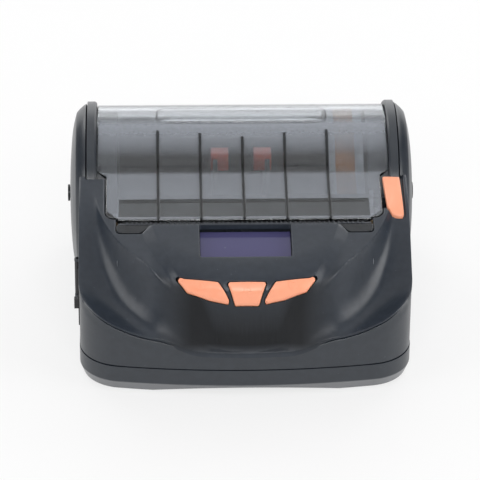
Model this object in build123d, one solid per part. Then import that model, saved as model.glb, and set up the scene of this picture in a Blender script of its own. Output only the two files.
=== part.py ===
# Portable receipt and label printer for 80 mm paper, smoke cover, opened at the back hinge.
# Millimetres. Origin: centre of the footprint on the table, +Z up, front towards -Y, right +X.
# Heights below count from a datum above the table; each piece is lifted by the same amount as it
# is written, so that the feet stand on zero.
import os
from math import cos, exp, hypot, log, pi, radians, sin, sqrt, tan

from build123d import *

os.makedirs("parts", exist_ok=True)

# Overall body
BODY_FRONT_Y = -58.0
BODY_REAR_Y = 58.0
BODY_HALF_W = 55.4
ENVELOPE_TOP_Z = 56.0
FRONT_BOW = 5.5
FRONT_CORNER_R = 15.0
REAR_CORNER_R = 12.0
WALL = 2.2
SEAM = 0.15
TABLE_Z = -2.6

# Lower shell
PART_Z = 7.0
FLOOR_T = 2.0
FOOT_H = 0.6
UNDERCUT_IN = 1.2
UNDERCUT_H = 3.2
ARCH_RISE = 2.2
ARCH_SPAN = 62.0
ARCH_DEPTH = 6.4
FOOT_R = 4.0
POST_T = 2.4
SCREW_R = 2.2

# Paper drum: the barrel that the cover closes
DRUM_Y = 21.0
DRUM_Z = 31.0
COVER_R = 30.2
COVER_T = 1.5
CHEEK_R = 31.6
CHEEK_T = 1.8
CHAMBER_HALF_W = 42.6
COVER_HALF_W = 49.4
SIDE_GAP = 0.3
CHEEK_RIM_W = 3.2
DRUM_GAP = 0.3
WELL_R = 27.0
WELL_T = 1.2
WELL_TOP_Z = 39.0

# Deck: the sloping top in front of the drum
LIP_FRONT_Y = -25.0
LIP_FRONT_Z = 45.8
DECK_SLOPE = 12.5
KINK_ANGLE = 49.5
CREASE_Y = -8.0
CREASE_R = 50.0
NOSE_START = 38.5
NOSE_R = 12.0
NOSE_FADE_IN = 22.0
NOSE_FADE_OUT = 34.0
RIDGE_Z = 12.6
RIDGE_RISE = 0.0053
SIDE_RISE = 0.75
SIDE_TURN_Y = -44.0
SCOOP_FADE = 3.2
DECK_T = 2.0
DECK_SPANS = 30
DECK_ROWS = (-58.6, -57.2, -55.5, -53, -50, -46, -41, -35, -28, -20, -12, -4, 5)

# Cover lip, ribs and thumb pocket
LIP_HALF_W = 46.4
LIP_NARROW_HALF_W = 42.2
LIP_NARROW_Y = -23.9
LIP_CORNER_R = 3.2
LIP_GAP = 0.35
RIB_PITCH = 14.4
RIB_W = 0.9
RIB_H = 0.5
RIB_STARTS = (17.0, 20.0, 23.0, 20.0, 17.0)
POCKET_HALF_W = 29.0
POCKET_Y0 = 15.5
POCKET_Y1 = 27.0
POCKET_R = 4.0
POCKET_DEPTH = 0.5

# Cover hinge at the back
HINGE_Y = 51.8
HINGE_Z = 43.6
PIN_R = 1.25
PIN_FIT = 0.06
KNUCKLE_R = 3.1
KNUCKLE_X0 = 30.4
KNUCKLE_X1 = 41.6
EAR_W = 6.0
EAR_GAP = 0.4
COVER_END_ANGLE = 25.0
SPRING_R = 2.2
WIRE_R = 0.35
SPRING_TURNS = 6

# Platen in the cover
PLATEN_Y = -19.0
PLATEN_Z = 38.2
PLATEN_R = 4.8
SHAFT_R = 2.0
PLATEN_HALF_L = 40.3
SHAFT_HALF_L = 46.4
SHAFT_FIT = 0.05
BUSH_R = 3.4
BUSH_X0 = 42.4
BUSH_W = 1.5
HOLDER_HALF_W = 42.1
HOLDER_WALL = 1.4
HOLDER_REAR_Y = -11.6
HOLDER_FRONT_Y = -22.4
HOLDER_LOW_Z = 35.6

# Print head and tear bar
HEAD_GAP = 0.3
HEAD_T = 1.0
SINK_T = 1.6
HEAD_HALF_W = 40.0
HEAD_LOW_Z = 34.0
SINK_LOW_Z = 27.5
HEAD_TOP_Z = 43.0
BLADE_T = 0.8
BLADE_RISE = 0.2
TOOTH_PITCH = 1.6
TOOTH_H = 0.7
BEZEL_HALF_W = 42.8
BEZEL_BAND = 1.0
LOBE_W = 8.3
LOBE_D = 2.6

# Gear train on the left, motor and frame
MODULE = 0.4
PLATEN_TEETH = 17
IDLER_TEETH = 40
PINION_TEETH = 12
GEAR_W = 1.8
GEAR_X = -45.9
MESH_GAP = 0.14
IDLER_ANGLE = 234.0
MOTOR_ANGLE = 258.0
MOTOR_R = 8.0
MOTOR_L = 18.0
MOTOR_SHAFT_R = 0.8
IDLER_PIN_R = 1.2
FRAME_T = 1.3
FRAME_FRONT_Y = -42.0
FRAME_REAR_Y = -13.0
FRAME_LOW_Z = 12.0
FRAME_TOP_Z = 41.0
FRAME_BAR_Z = 24.0
FRAME_WALL_Y = -33.0
SLOT_GAP = 0.3
CHUTE_R = 6.2
CHUTE_T = 1.2

# Release lever and latch on the right
LEVER_PIVOT_Y = -9.8
LEVER_PIVOT_Z = 45.4
LEVER_RAISE = 0.5
LEVER_T = 1.8
LEVER_PIN_R = 1.0
LATCH_X = 44.3
LATCH_T = 1.4
LATCH_PIVOT_Y = -13.6
LATCH_PIVOT_Z = 31.0
LATCH_PIN_R = 1.2
HOOK_GAP = 0.3

# Display and buttons
SCREEN_W = 30.0
SCREEN_D = 15.0
SCREEN_Y = -36.6
SCREEN_DEPTH = 1.6
LENS_T = 1.0
SCREEN_GAP = 0.2
MODULE_T = 2.9
BUTTON_TILT = 35.0
BUTTON_Y = -51.6
BUTTON_Z = 36.6
BUTTON_RAISE = 0.7
BUTTON_GAP = 0.3
FLANGE = 0.55
FLANGE_T = 0.8
FLANGE_TOP = -4.2
KEY_BOARD_TOP = -6.8
KEY_BOARD_T = 1.0
KEY_POST_X = 27.0
SWITCH_H = 0.85
SWITCH_W = 3.4
SWITCH_PLACES = ((-14.5, -1.8), (0.0, -3.4), (14.5, -1.8))

# Side caps and strap studs
CAP_RIM_R = 30.8
CAP_X = 53.1
CAP_OUT_X = 59.3
CAP_T = 1.8
STUD_R = 2.9
STUD_NECK_R = 2.0
STUD_OUT_X = 60.0

# Battery, board and sockets
BATTERY_X0 = -14.0
BATTERY_X1 = 40.4
BATTERY_Y0 = -50.0
BATTERY_Y1 = -13.0
BATTERY_H = 18.0
BAY_GAP = 0.3
LATCH_TRAVEL = 3.0
BOARD_Z = 22.2
BOARD_T = 1.6
BOARD_X0 = -22.5
BOARD_X1 = 30.0
BOARD_Y0 = -48.0
BOARD_Y1 = -35.5
PORT_Y0 = -36.0
PORT_Y1 = -14.0
PORT_Z0 = 11.0
PORT_Z1 = 24.0
FLAP_T = 1.2
FLAP_SUNK = 0.9
PORT_PIN_R = 0.5
PORT_PIN_X = 56.4
PORT_KNUCKLE_R = 0.9
LUG_T = 1.0

# Paper guides
GUIDE_X = 9.0
GUIDE_T = 1.6
GUIDE_R = 15.0
RAIL_R = 1.5
RAIL_Z = 6.8


def box(x0, x1, y0, y1, z0, z1):
    """Box between two corners."""
    return Pos((x0 + x1) / 2, (y0 + y1) / 2, (z0 + z1) / 2) * Box(x1 - x0, y1 - y0, z1 - z0)


def rod_x(r, x0, x1, y, z):
    """Round bar along X."""
    return Pos((x0 + x1) / 2, y, z) * Rot(0, 90, 0) * Cylinder(r, x1 - x0)


def rod_z(r, x, y, z0, z1):
    """Round bar along Z."""
    return Pos(x, y, (z0 + z1) / 2) * Cylinder(r, z1 - z0)


def prism_x(points, x0, x1):
    """Side outline of (y, z) points carried along X."""
    outline = Plane.YZ.offset(x0) * make_face(Polyline(*[(y, z) for y, z in points], close=True))
    return extrude(outline, amount=x1 - x0)


def one(shape):
    """The shape as one compound of its solids."""
    return Compound(children=list(shape.solids()))


def save(name, *shapes):
    """Write one node, as all the solids of the given shapes."""
    solids = []
    for shape in shapes:
        solids.extend(shape.solids())
    export_step(Pos(0, 0, -TABLE_Z) * Compound(children=solids), "parts/" + name + ".step")


def mirror_x(shape):
    return mirror(shape, about=Plane.YZ)


def deck_plane(y):
    """Height of the flat of the deck, which the cover's lip continues."""
    return LIP_FRONT_Z + (y - LIP_FRONT_Y) * tan(radians(DECK_SLOPE))


def soft(value, width):
    """Zero below zero, the value above it, with a soft change between."""
    if value > 20 * width:
        return value
    return width * log(1 + exp(value / width))


def deck_height(x, y):
    """Top of the body in front of the drum: flat console, round nose, hollow flanks."""
    radius = hypot(x, y - CREASE_Y)
    over = min(soft(radius - NOSE_START, 0.6), 0.97 * NOSE_R)
    fade = (abs(x) - NOSE_FADE_IN) / (NOSE_FADE_OUT - NOSE_FADE_IN)
    fade = min(1.0, max(0.0, fade))
    weight = 1 - fade * fade * (3 - 2 * fade)
    top = deck_plane(y) - weight * (NOSE_R - sqrt(NOSE_R**2 - over**2))
    edge = RIDGE_Z + RIDGE_RISE * x * x + SIDE_RISE * soft(y - SIDE_TURN_Y, 2.0)
    edge = top - soft(top - edge, 1.5)
    beyond = soft(radius - CREASE_R, 0.5)
    return edge + (top - edge) * exp(-beyond / SCOOP_FADE)


def deck_section(y, rise):
    """Slice across the body at one y, up to the deck."""
    xs = [-62 + 124 * i / DECK_SPANS for i in range(DECK_SPANS + 1)]
    top = Spline(*[(x, deck_height(x, y) + rise) for x in xs])
    frame = Polyline(top @ 1, (xs[-1], -5), (xs[0], -5), top @ 0)
    return Pos(0, y, 0) * Rot(90, 0, 0) * make_face([top] + list(frame.edges()))


def under_deck(rise):
    """Everything below the deck moved up by rise."""
    return loft([deck_section(y, rise) for y in DECK_ROWS])


def outline(inset=0.0):
    """Plan outline of the body: bowed front, round corners."""
    w = BODY_HALF_W - inset
    front = BODY_FRONT_Y + inset
    rear = BODY_REAR_Y - inset
    bow = Edge.make_three_point_arc((-w, front + FRONT_BOW), (0, front), (w, front + FRONT_BOW))
    sides = Polyline((w, front + FRONT_BOW), (w, rear), (-w, rear), (-w, front + FRONT_BOW))
    face = make_face([bow] + list(sides.edges()))
    face = fillet([v for v in face.vertices() if v.Y < 0], FRONT_CORNER_R - inset)
    return fillet([v for v in face.vertices() if v.Y > rear - 0.01], REAR_CORNER_R - inset)


def envelope(inset, z0, z1=ENVELOPE_TOP_Z):
    """Outer body between two heights, or the hollow in it when inset is the wall."""
    return Pos(0, 0, z0) * extrude(outline(inset), amount=z1 - z0)


def drum(radius, half_w):
    return rod_x(radius, -half_w, half_w, DRUM_Y, DRUM_Z)


def wedge(front, back, half_w=60.0):
    """Sector of the drum between two angles from straight up, front side positive."""
    steps = [front + (back - front) * i / 6 for i in range(7)]
    rim = [(DRUM_Y - 70 * sin(radians(a)), DRUM_Z + 70 * cos(radians(a))) for a in steps]
    return prism_x([(DRUM_Y, DRUM_Z)] + rim, -half_w, half_w)


def slab(y0, y1, top, bottom, half_w):
    """Plate that follows the deck's slope, between two depths below its flat."""
    points = [
        (y0, deck_plane(y0) - bottom),
        (y0, deck_plane(y0) - top),
        (y1, deck_plane(y1) - top),
        (y1, deck_plane(y1) - bottom),
    ]
    return prism_x(points, -half_w, half_w)


def tilted(x, y, depth=0.0):
    """Frame that lies in the deck's flat, moved below it by depth."""
    return Pos(x, y, deck_plane(y)) * Rot(DECK_SLOPE, 0, 0) * Pos(0, 0, -depth)


def button_frame():
    return Pos(0, BUTTON_Y, BUTTON_Z) * Rot(BUTTON_TILT, 0, 0)


def rings(r, wire, place, pitch, count):
    """Close-wound coil, drawn as one ring for each turn."""
    return [place * Pos(0, 0, pitch * i) * Torus(r, wire) for i in range(count)]


KINK_Y = DRUM_Y - COVER_R * sin(radians(KINK_ANGLE))
HEAD_FACE_Y = PLATEN_Y - PLATEN_R - HEAD_GAP
SINK_Y = HEAD_FACE_Y - HEAD_T - SINK_T
BLADE_Y = SINK_Y - BLADE_T
BEZEL_Y = BLADE_Y - BEZEL_BAND
CHEEK_OUT_X = COVER_HALF_W + SIDE_GAP + CHEEK_RIM_W
LEDGE_R = COVER_R - COVER_T - 0.4
BASE_Z = TABLE_Z + FOOT_H
FLOOR_Z = BASE_Z + FLOOR_T


def lip_face(grow, reach=0.0):
    """Plan of the cover's lip, grown by the gap around it."""
    w = LIP_HALF_W + grow
    n = LIP_NARROW_HALF_W + grow
    back = KINK_Y + 3 + reach
    points = [
        (-w, back),
        (-w, LIP_NARROW_Y - grow),
        (-n, LIP_NARROW_Y - grow),
        (-n, LIP_FRONT_Y - grow),
        (n, LIP_FRONT_Y - grow),
        (n, LIP_NARROW_Y - grow),
        (w, LIP_NARROW_Y - grow),
        (w, back),
    ]
    face = make_face(Polyline(*points, close=True))
    round_at = [v for v in face.vertices() if abs(abs(v.X) - w) < 0.01 and v.Y < back - 1]
    return fillet(round_at, LIP_CORNER_R - grow)


def bezel_face(grow):
    """Plan of the strip in front of the tear blade, with a lobe at each end."""
    w = BEZEL_HALF_W + grow
    low = BEZEL_Y - grow
    lobe = BEZEL_Y - LOBE_D - grow
    inner = BEZEL_HALF_W - LOBE_W - grow
    back = HEAD_FACE_Y
    points = [
        (-w, back),
        (-w, lobe),
        (-inner, lobe),
        (-inner + LOBE_D, low),
        (inner - LOBE_D, low),
        (inner, lobe),
        (w, lobe),
        (w, back),
    ]
    face = make_face(Polyline(*points, close=True))
    corners = [v for v in face.vertices() if abs(v.Y - lobe) < 0.01]
    return fillet(corners, 1.6)


LEVER_PLAN = ((47.4, -4.6), (53.0, -4.8), (53.6, -21.6), (49.6, -21.0), (48.0, -19.4))


def lever_face(grow):
    face = make_face(Polyline(*LEVER_PLAN, close=True))
    return offset(face, grow, kind=Kind.INTERSECTION) if grow else face


LEFT_BUTTON = ((-24.0, 3.3), (-20.4, 1.7), (-9.4, -0.3), (-5.8, -5.7), (-6.2, -6.3), (-12.3, -4.9), (-19.7, -2.3))
MENU_BUTTON = ((-6.5, -0.5), (6.5, -0.5), (3.9, -6.8), (-3.9, -6.8))


def button_prism(points, grow, z0, z1):
    face = make_face(Polyline(*points, close=True))
    if grow:
        face = offset(face, grow, kind=Kind.INTERSECTION)
    return button_frame() * Pos(0, 0, z0) * extrude(face, amount=z1 - z0)


def right_of(points):
    return tuple((-x, y) for x, y in points)


BUTTONS = {
    "feed_button": LEFT_BUTTON,
    "menu_button": MENU_BUTTON,
    "power_button": right_of(LEFT_BUTTON),
}


def build_base():
    wall_z = BASE_Z + UNDERCUT_H
    base = loft([Pos(0, 0, BASE_Z) * outline(UNDERCUT_IN), Pos(0, 0, wall_z) * outline()])
    base += envelope(0, wall_z, PART_Z)
    base -= envelope(WALL, FLOOR_Z, PART_Z + 1)
    sill = box(-60, 60, -60, BODY_FRONT_Y + ARCH_DEPTH + 1.0, FLOOR_Z - 1, FLOOR_Z + ARCH_RISE)
    base += envelope(WALL / 2, FLOOR_Z - 1) & sill
    arch_r = (ARCH_SPAN**2 / 4 + ARCH_RISE**2) / (2 * ARCH_RISE)
    arch = Pos(0, BODY_FRONT_Y + ARCH_DEPTH / 2, BASE_Z + ARCH_RISE - arch_r) * Rot(90, 0, 0)
    base -= arch * Cylinder(arch_r, ARCH_DEPTH)
    base -= box(
        BATTERY_X0 - BAY_GAP,
        BATTERY_X1 + BAY_GAP,
        BATTERY_Y0 - BAY_GAP,
        BATTERY_Y1 + BAY_GAP,
        TABLE_Z,
        FLOOR_Z + 1,
    )
    base -= latch_box(LIP_GAP, LATCH_TRAVEL, TABLE_Z, FLOOR_Z + 1)
    for y in (DRUM_Y - 5, DRUM_Y + 5):
        rest = box(-30, 30, y - 1, y + 1, FLOOR_Z, FLOOR_Z + 6)
        base += rest - drum(WELL_R + WELL_T + DRUM_GAP, 70)
    post_x = BUSH_X0 + BUSH_W / 2
    for side in (-1, 1):
        base += box(
            side * post_x - POST_T / 2,
            side * post_x + POST_T / 2,
            FRAME_REAR_Y - 8,
            FRAME_REAR_Y - 2,
            FLOOR_Z,
            FRAME_LOW_Z,
        )
    for y in (PORT_Y0 + 2, PORT_Y1 - 2):
        base += box(-52.5, -50.0, y - 1.2, y + 1.2, FLOOR_Z, PORT_Z0 + 2)
    for x, y in screw_places():
        base += rod_z(SCREW_R + 1.4, x, y, FLOOR_Z, PART_Z)
        base -= rod_z(SCREW_R + 0.1, x, y, TABLE_Z, BASE_Z + 1.5)
        base -= rod_z(1.3, x, y, TABLE_Z, PART_Z + 1)
    return base


def screw_places():
    return [(x, y) for x in (-47.5, 47.5) for y in (-26, 50)]


def latch_box(grow, travel, z0, z1):
    return box(10 - grow, 20 + grow, BATTERY_Y1 + 1.0 - grow, BATTERY_Y1 + 7 + travel + grow, z0, z1)


def build_top_shell():
    shell = envelope(0, PART_Z + SEAM) & under_deck(0)
    shell -= envelope(WALL, PART_Z) & under_deck(-DECK_T)
    shell -= drum(CHEEK_R + DRUM_GAP, CHEEK_OUT_X + 0.15)
    shell -= drum(CAP_RIM_R + DRUM_GAP, 70)
    for x, y in board_posts():
        shell += rod_z(2.0, x, y, BOARD_Z + BOARD_T, 45) & under_deck(-DECK_T / 2)
    for x in (-KEY_POST_X, KEY_POST_X):
        post = button_frame() * Pos(x, 1.0, KEY_BOARD_TOP + 10) * Cylinder(1.4, 20)
        shell += post & under_deck(-DECK_T / 2)
    shell -= Pos(0, 0, 35) * extrude(lip_face(LIP_GAP, 8), amount=60)
    shell -= Pos(0, 0, 35) * extrude(bezel_face(0.1), amount=60)
    shell -= Pos(0, 0, 40) * extrude(lever_face(LIP_GAP), amount=60)
    shell -= box(LIP_HALF_W, LEVER_PLAN[4][0], LEVER_PLAN[4][1], LEVER_PLAN[0][1] + 1.5, 40, 90)
    shell -= tilted(0, SCREEN_Y) * Box(SCREEN_W + 2 * SCREEN_GAP, SCREEN_D + 2 * SCREEN_GAP, 12)
    for points in BUTTONS.values():
        shell -= button_prism(points, BUTTON_GAP, -8, 12)
        shell -= button_prism(points, FLANGE + BUTTON_GAP, -8, FLANGE_TOP + 0.1)
    shell -= box(-70, -50, PORT_Y0 + 4, PORT_Y1 - 3, PORT_Z0 + 2, PORT_Z1 - 2)
    sunk_x = -BODY_HALF_W + FLAP_SUNK + 0.1
    shell -= box(-70, sunk_x, PORT_Y0 - 0.3, PORT_Y1 - 0.2, PORT_Z0 - 0.3, PORT_Z1 + 0.3)
    for z in (PORT_Z0 - LUG_T, PORT_Z1):
        lug = box(-PORT_PIN_X, -54.2, PORT_Y1 - 1, PORT_Y1 + 1, z, z + LUG_T)
        lug += rod_z(1.0, -PORT_PIN_X, PORT_Y1, z, z + LUG_T)
        shell += lug - rod_z(PORT_PIN_R + 0.02, -PORT_PIN_X, PORT_Y1, 0, 40)
    return one(shell)


def board_posts():
    return [(-20.3, -39), (27.8, -39)]


def build_rear_housing():
    profile = [(20, 0), (58, 0), (58, 31), (57.2, 34.6), (55.4, 37.6), (52.8, 39.4), (20, 39.4)]
    housing = envelope(0, PART_Z + SEAM, 60) & prism_x(profile, -60, 60)
    inner = [(0, 0), (55.8, 0), (55.8, 31), (54.9, 34), (53.2, 36.4), (51, 37.4), (0, 37.4)]
    housing -= envelope(WALL, PART_Z, 60) & prism_x(inner, -60, 60)
    for side in (-1, 1):
        for x0 in (KNUCKLE_X0 - EAR_GAP - EAR_W, KNUCKLE_X1 + EAR_GAP):
            x1 = x0 + EAR_W
            low, high = sorted((side * x0, side * x1))
            housing += rod_x(KNUCKLE_R, low, high, HINGE_Y, HINGE_Z)
            housing += box(low, high, HINGE_Y - 2.3, HINGE_Y + KNUCKLE_R, 38.5, HINGE_Z)
    housing -= rod_x(PIN_R + 0.02, -50, 50, HINGE_Y, HINGE_Z)
    housing -= drum(CHEEK_R + DRUM_GAP, CHEEK_OUT_X + 0.15) & box(-60, 60, 0, 60, 0, 40)
    housing -= drum(CAP_RIM_R + DRUM_GAP, 70)
    return one(housing)


def build_cheek():
    rim = COVER_HALF_W + SIDE_GAP
    points = [
        (CHAMBER_HALF_W, 0),
        (CHAMBER_HALF_W, LEDGE_R),
        (rim, LEDGE_R),
        (rim, CHEEK_R - 0.5),
        (rim + 0.6, CHEEK_R),
        (CHEEK_OUT_X, CHEEK_R),
        (CHEEK_OUT_X, CHEEK_R - 2),
        (rim + CHEEK_T, CHEEK_R - 2),
        (rim + CHEEK_T, LEDGE_R - CHEEK_T),
        (CHAMBER_HALF_W + CHEEK_T, LEDGE_R - CHEEK_T),
        (CHAMBER_HALF_W + CHEEK_T, 0),
    ]
    face = make_face(Polyline(*[(x, r) for x, r in points], close=True))
    cheek = Pos(0, DRUM_Y, DRUM_Z) * revolve(face, Axis.X)
    cheek &= box(40, 60, -20, 60, FLOOR_Z + 0.3, 70)
    cheek -= rod_x(RAIL_R + 0.02, 40, 46, DRUM_Y, RAIL_Z)
    notch = box(40, 60, HINGE_Y - 6, 60, HINGE_Z - 6, HINGE_Z + 8)
    return one(cheek - notch)


def cap_face(shrink):
    """Half section of the domed side cap, or of the hollow in it."""
    rim = CAP_RIM_R - shrink
    out = CAP_OUT_X - shrink
    bore = STUD_NECK_R + 0.02
    edge = (CAP_X + 1.8 - shrink, rim)
    turn = (out - 1.4, rim - 7.2)
    shoulder = ThreePointArc(edge, (out - 2.75, rim - 3.1), turn)
    crown = ThreePointArc(turn, (out - 0.35, rim - 18.5), (out, bore))
    start = CAP_X if shrink == 0 else CAP_X - 1
    frame = Polyline((out, bore), (start, bore), (start, rim), edge)
    return make_face([shoulder, crown] + list(frame.edges()))


def build_cap():
    cap = revolve(cap_face(0), Axis.X) - revolve(cap_face(CAP_T), Axis.X)
    cap = Pos(0, DRUM_Y, DRUM_Z) * cap
    return one(cap & box(40, 70, -20, 60, PART_Z + SEAM, 70))


def build_window():
    ring = drum(COVER_R, COVER_HALF_W) - drum(COVER_R - COVER_T, 70)
    window = ring & wedge(KINK_ANGLE, COVER_END_ANGLE - 90)
    lip = slab(LIP_FRONT_Y, KINK_Y + 3, 0, COVER_T, 60) & Pos(0, 0, 30) * extrude(lip_face(0), amount=40)
    window += lip - drum(COVER_R - COVER_T, 70)
    for i, start in enumerate(RIB_STARTS):
        x = (i - (len(RIB_STARTS) - 1) / 2) * RIB_PITCH
        arc = rod_x(COVER_R + RIB_H, x - RIB_W / 2, x + RIB_W / 2, DRUM_Y, DRUM_Z)
        arc -= drum(COVER_R - COVER_T / 2, 70)
        window += arc & wedge(KINK_ANGLE + 0.4, start)
        window += Pos(x, 0, 0) * slab(LIP_FRONT_Y, KINK_Y, -RIB_H, COVER_T / 2, RIB_W / 2)
    pocket = Pos(0, (POCKET_Y0 + POCKET_Y1) / 2, 40) * extrude(
        RectangleRounded(2 * POCKET_HALF_W, POCKET_Y1 - POCKET_Y0, POCKET_R), amount=40
    )
    window -= pocket - drum(COVER_R - POCKET_DEPTH, 70)
    return one(window)


def build_hinge_bar():
    inner_r = COVER_R - COVER_T
    half = CHAMBER_HALF_W - 0.4
    strip = drum(inner_r - 0.02, half) - drum(WELL_R + 0.2, 70)
    bar = strip & wedge(COVER_END_ANGLE - 90 + 12, COVER_END_ANGLE - 90 - 3.4)
    end = drum(COVER_R, half) - drum(WELL_R + 0.2, 70)
    bar += end & wedge(COVER_END_ANGLE - 90 - 0.1, COVER_END_ANGLE - 90 - 3.4)
    bar -= rod_x(KNUCKLE_R + EAR_GAP, -60, 60, HINGE_Y, HINGE_Z)
    for side in (-1, 1):
        low, high = sorted((side * KNUCKLE_X0, side * KNUCKLE_X1))
        bar += rod_x(KNUCKLE_R, low, high, HINGE_Y, HINGE_Z)
        bar += box(low, high, 46.6, HINGE_Y, HINGE_Z - 3.0, HINGE_Z - 1.3)
    bar -= rod_x(PIN_R + PIN_FIT, -50, 50, HINGE_Y, HINGE_Z)
    return one(bar)


def build_holder():
    depth = COVER_T + 0.05
    top = slab(HOLDER_FRONT_Y, HOLDER_REAR_Y, depth, depth + 1.6, HOLDER_HALF_W)
    groove = slab(-15.6, -15.0, depth - 1, depth + 0.4, HOLDER_HALF_W + 1)
    rear = box(
        -HOLDER_HALF_W,
        HOLDER_HALF_W,
        HOLDER_REAR_Y - HOLDER_WALL,
        HOLDER_REAR_Y,
        HOLDER_LOW_Z,
        deck_plane(HOLDER_REAR_Y) - depth - 1,
    )
    holder = top + rear - groove
    for side in (-1, 1):
        low, high = sorted((side * (HOLDER_HALF_W - HOLDER_WALL), side * HOLDER_HALF_W))
        wall = box(low, high, HOLDER_FRONT_Y, HOLDER_REAR_Y, HOLDER_LOW_Z - 0.5, 60)
        holder += wall & slab(HOLDER_FRONT_Y, HOLDER_REAR_Y, depth, 30, 60)
    return one(holder - rod_x(SHAFT_R + SHAFT_FIT, -60, 60, PLATEN_Y, PLATEN_Z))


def gear(teeth, bore, turn):
    """Spur gear along X at the origin, with straight-sided teeth."""
    pitch_r = MODULE * teeth / 2
    tip = pitch_r + 0.8 * MODULE
    root = pitch_r - 1.1 * MODULE
    step = 2 * pi / teeth
    points = []
    for i in range(teeth):
        a = i * step + turn
        for share, r in ((-0.34, root), (-0.12, tip), (0.12, tip), (0.34, root)):
            points.append((r * cos(a + share * step), r * sin(a + share * step)))
    face = Plane.YZ * make_face(Polyline(*points, close=True))
    wheel = extrude(face, amount=GEAR_W)
    return wheel - rod_x(bore, -1, GEAR_W + 1, 0, 0)


def gear_axes():
    """Centres of the platen gear, idler and motor pinion in the side view."""
    reach = MODULE * (PLATEN_TEETH + IDLER_TEETH) / 2 + MESH_GAP
    idler = (
        PLATEN_Y + reach * cos(radians(IDLER_ANGLE)),
        PLATEN_Z + reach * sin(radians(IDLER_ANGLE)),
    )
    reach = MODULE * (IDLER_TEETH + PINION_TEETH) / 2 + MESH_GAP
    motor = (
        idler[0] + reach * cos(radians(MOTOR_ANGLE)),
        idler[1] + reach * sin(radians(MOTOR_ANGLE)),
    )
    return idler, motor


def meshed(angle_to, teeth_a, turn_a, teeth_b):
    """Turn of gear B so that its gap faces the tooth of gear A on the line of centres."""
    a = radians(angle_to)
    step_a = 2 * pi / teeth_a
    step_b = 2 * pi / teeth_b
    phase = ((a - turn_a) / step_a) % 1.0
    return a + pi + (phase + 0.5) * step_b


def build_frame(idler, motor):
    frame = None
    inside = under_deck(-DECK_T - 0.3)
    cut = rod_x(BUSH_R + SLOT_GAP, -60, 60, PLATEN_Y, PLATEN_Z)
    cut += box(-60, 60, PLATEN_Y - BUSH_R - SLOT_GAP, PLATEN_Y + BUSH_R + SLOT_GAP, PLATEN_Z, 60)
    x0 = BUSH_X0 + 0.1
    for side in (-1, 1):
        low, high = sorted((side * x0, side * (x0 + FRAME_T)))
        plate = box(low, high, FRAME_FRONT_Y, FRAME_REAR_Y, FRAME_LOW_Z, FRAME_TOP_Z)
        plate &= slab(FRAME_FRONT_Y, FRAME_REAR_Y, 6, 40, 60)
        plate &= inside
        frame = plate if frame is None else frame + plate
    frame += box(-x0, x0, PLATEN_Y - 1.5, PLATEN_Y + 0.5, FRAME_BAR_Z, FRAME_BAR_Z + 3)
    frame += box(-23, x0, FRAME_WALL_Y - 1.2, FRAME_WALL_Y, FRAME_BAR_Z + 2, 35.5)
    frame += box(x0, x0 + FRAME_T, FRAME_REAR_Y - 1, LEVER_PIVOT_Y + 2, 34, LEVER_PIVOT_Z - 1.4)
    frame += box(x0, x0 + FRAME_T, LEVER_PIVOT_Y - 2, LEVER_PIVOT_Y + 2, 42, LEVER_PIVOT_Z + 1.3)
    frame -= rod_x(LEVER_PIN_R + 0.02, 40, 54, LEVER_PIVOT_Y, LEVER_PIVOT_Z)
    frame -= cut
    frame -= rod_x(IDLER_PIN_R + 0.02, -60, 0, *idler)
    frame -= rod_x(MOTOR_SHAFT_R + 0.6, -60, -30, *motor)
    frame -= rod_x(LATCH_PIN_R + 0.02, 30, 60, LATCH_PIVOT_Y, LATCH_PIVOT_Z)
    return one(frame)


def build_latch():
    y, z = LATCH_PIVOT_Y, LATCH_PIVOT_Z
    top = PLATEN_Z + SHAFT_R + HOOK_GAP
    rear = PLATEN_Y + SHAFT_R + HOOK_GAP
    points = [
        (y - 2.4, z - 1.5),
        (y + 2.2, z - 1.5),
        (y + 2.2, top + 1.4),
        (y + 0.4, top + 2.4),
        (PLATEN_Y - 1.6, top + 2.2),
        (PLATEN_Y - 2.2, top + 0.6),
        (PLATEN_Y - 1.6, top),
        (rear, top),
        (rear, PLATEN_Z - 1),
        (y - 2.4, z + 4),
    ]
    hook = prism_x(points, LATCH_X, LATCH_X + LATCH_T)
    return hook - rod_x(LATCH_PIN_R + SHAFT_FIT, 40, 50, y, z)


def build_blade():
    low = SINK_LOW_Z + 8
    count = int(2 * HEAD_HALF_W / TOOTH_PITCH)
    half = count * TOOTH_PITCH / 2
    top = deck_plane(BLADE_Y) + BLADE_RISE
    points = [(-BEZEL_HALF_W + 0.6, low), (-BEZEL_HALF_W + 0.6, top), (-half, top)]
    for i in range(count):
        points.append((-half + (i + 0.5) * TOOTH_PITCH, top + TOOTH_H))
        points.append((-half + (i + 1) * TOOTH_PITCH, top))
    points += [(BEZEL_HALF_W - 0.6, top), (BEZEL_HALF_W - 0.6, low)]
    face = Plane.XZ.offset(-BLADE_Y - BLADE_T) * make_face(Polyline(*points, close=True))
    return extrude(face, amount=BLADE_T)


def build_guide(side):
    x = side * GUIDE_X
    plate = rod_x(GUIDE_R, x - GUIDE_T / 2, x + GUIDE_T / 2, DRUM_Y, DRUM_Z)
    plate += box(x - GUIDE_T / 2, x + GUIDE_T / 2, DRUM_Y - 5, DRUM_Y + 5, RAIL_Z, DRUM_Z)
    inner, outer = sorted((x - side * 4.4, x + side * GUIDE_T / 2))
    plate += box(inner, outer, DRUM_Y - 3.2, DRUM_Y + 3.2, RAIL_Z - 2.2, RAIL_Z + 3)
    return plate - rod_x(RAIL_R + SHAFT_FIT, x - 9, x + 9, DRUM_Y, RAIL_Z)


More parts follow.
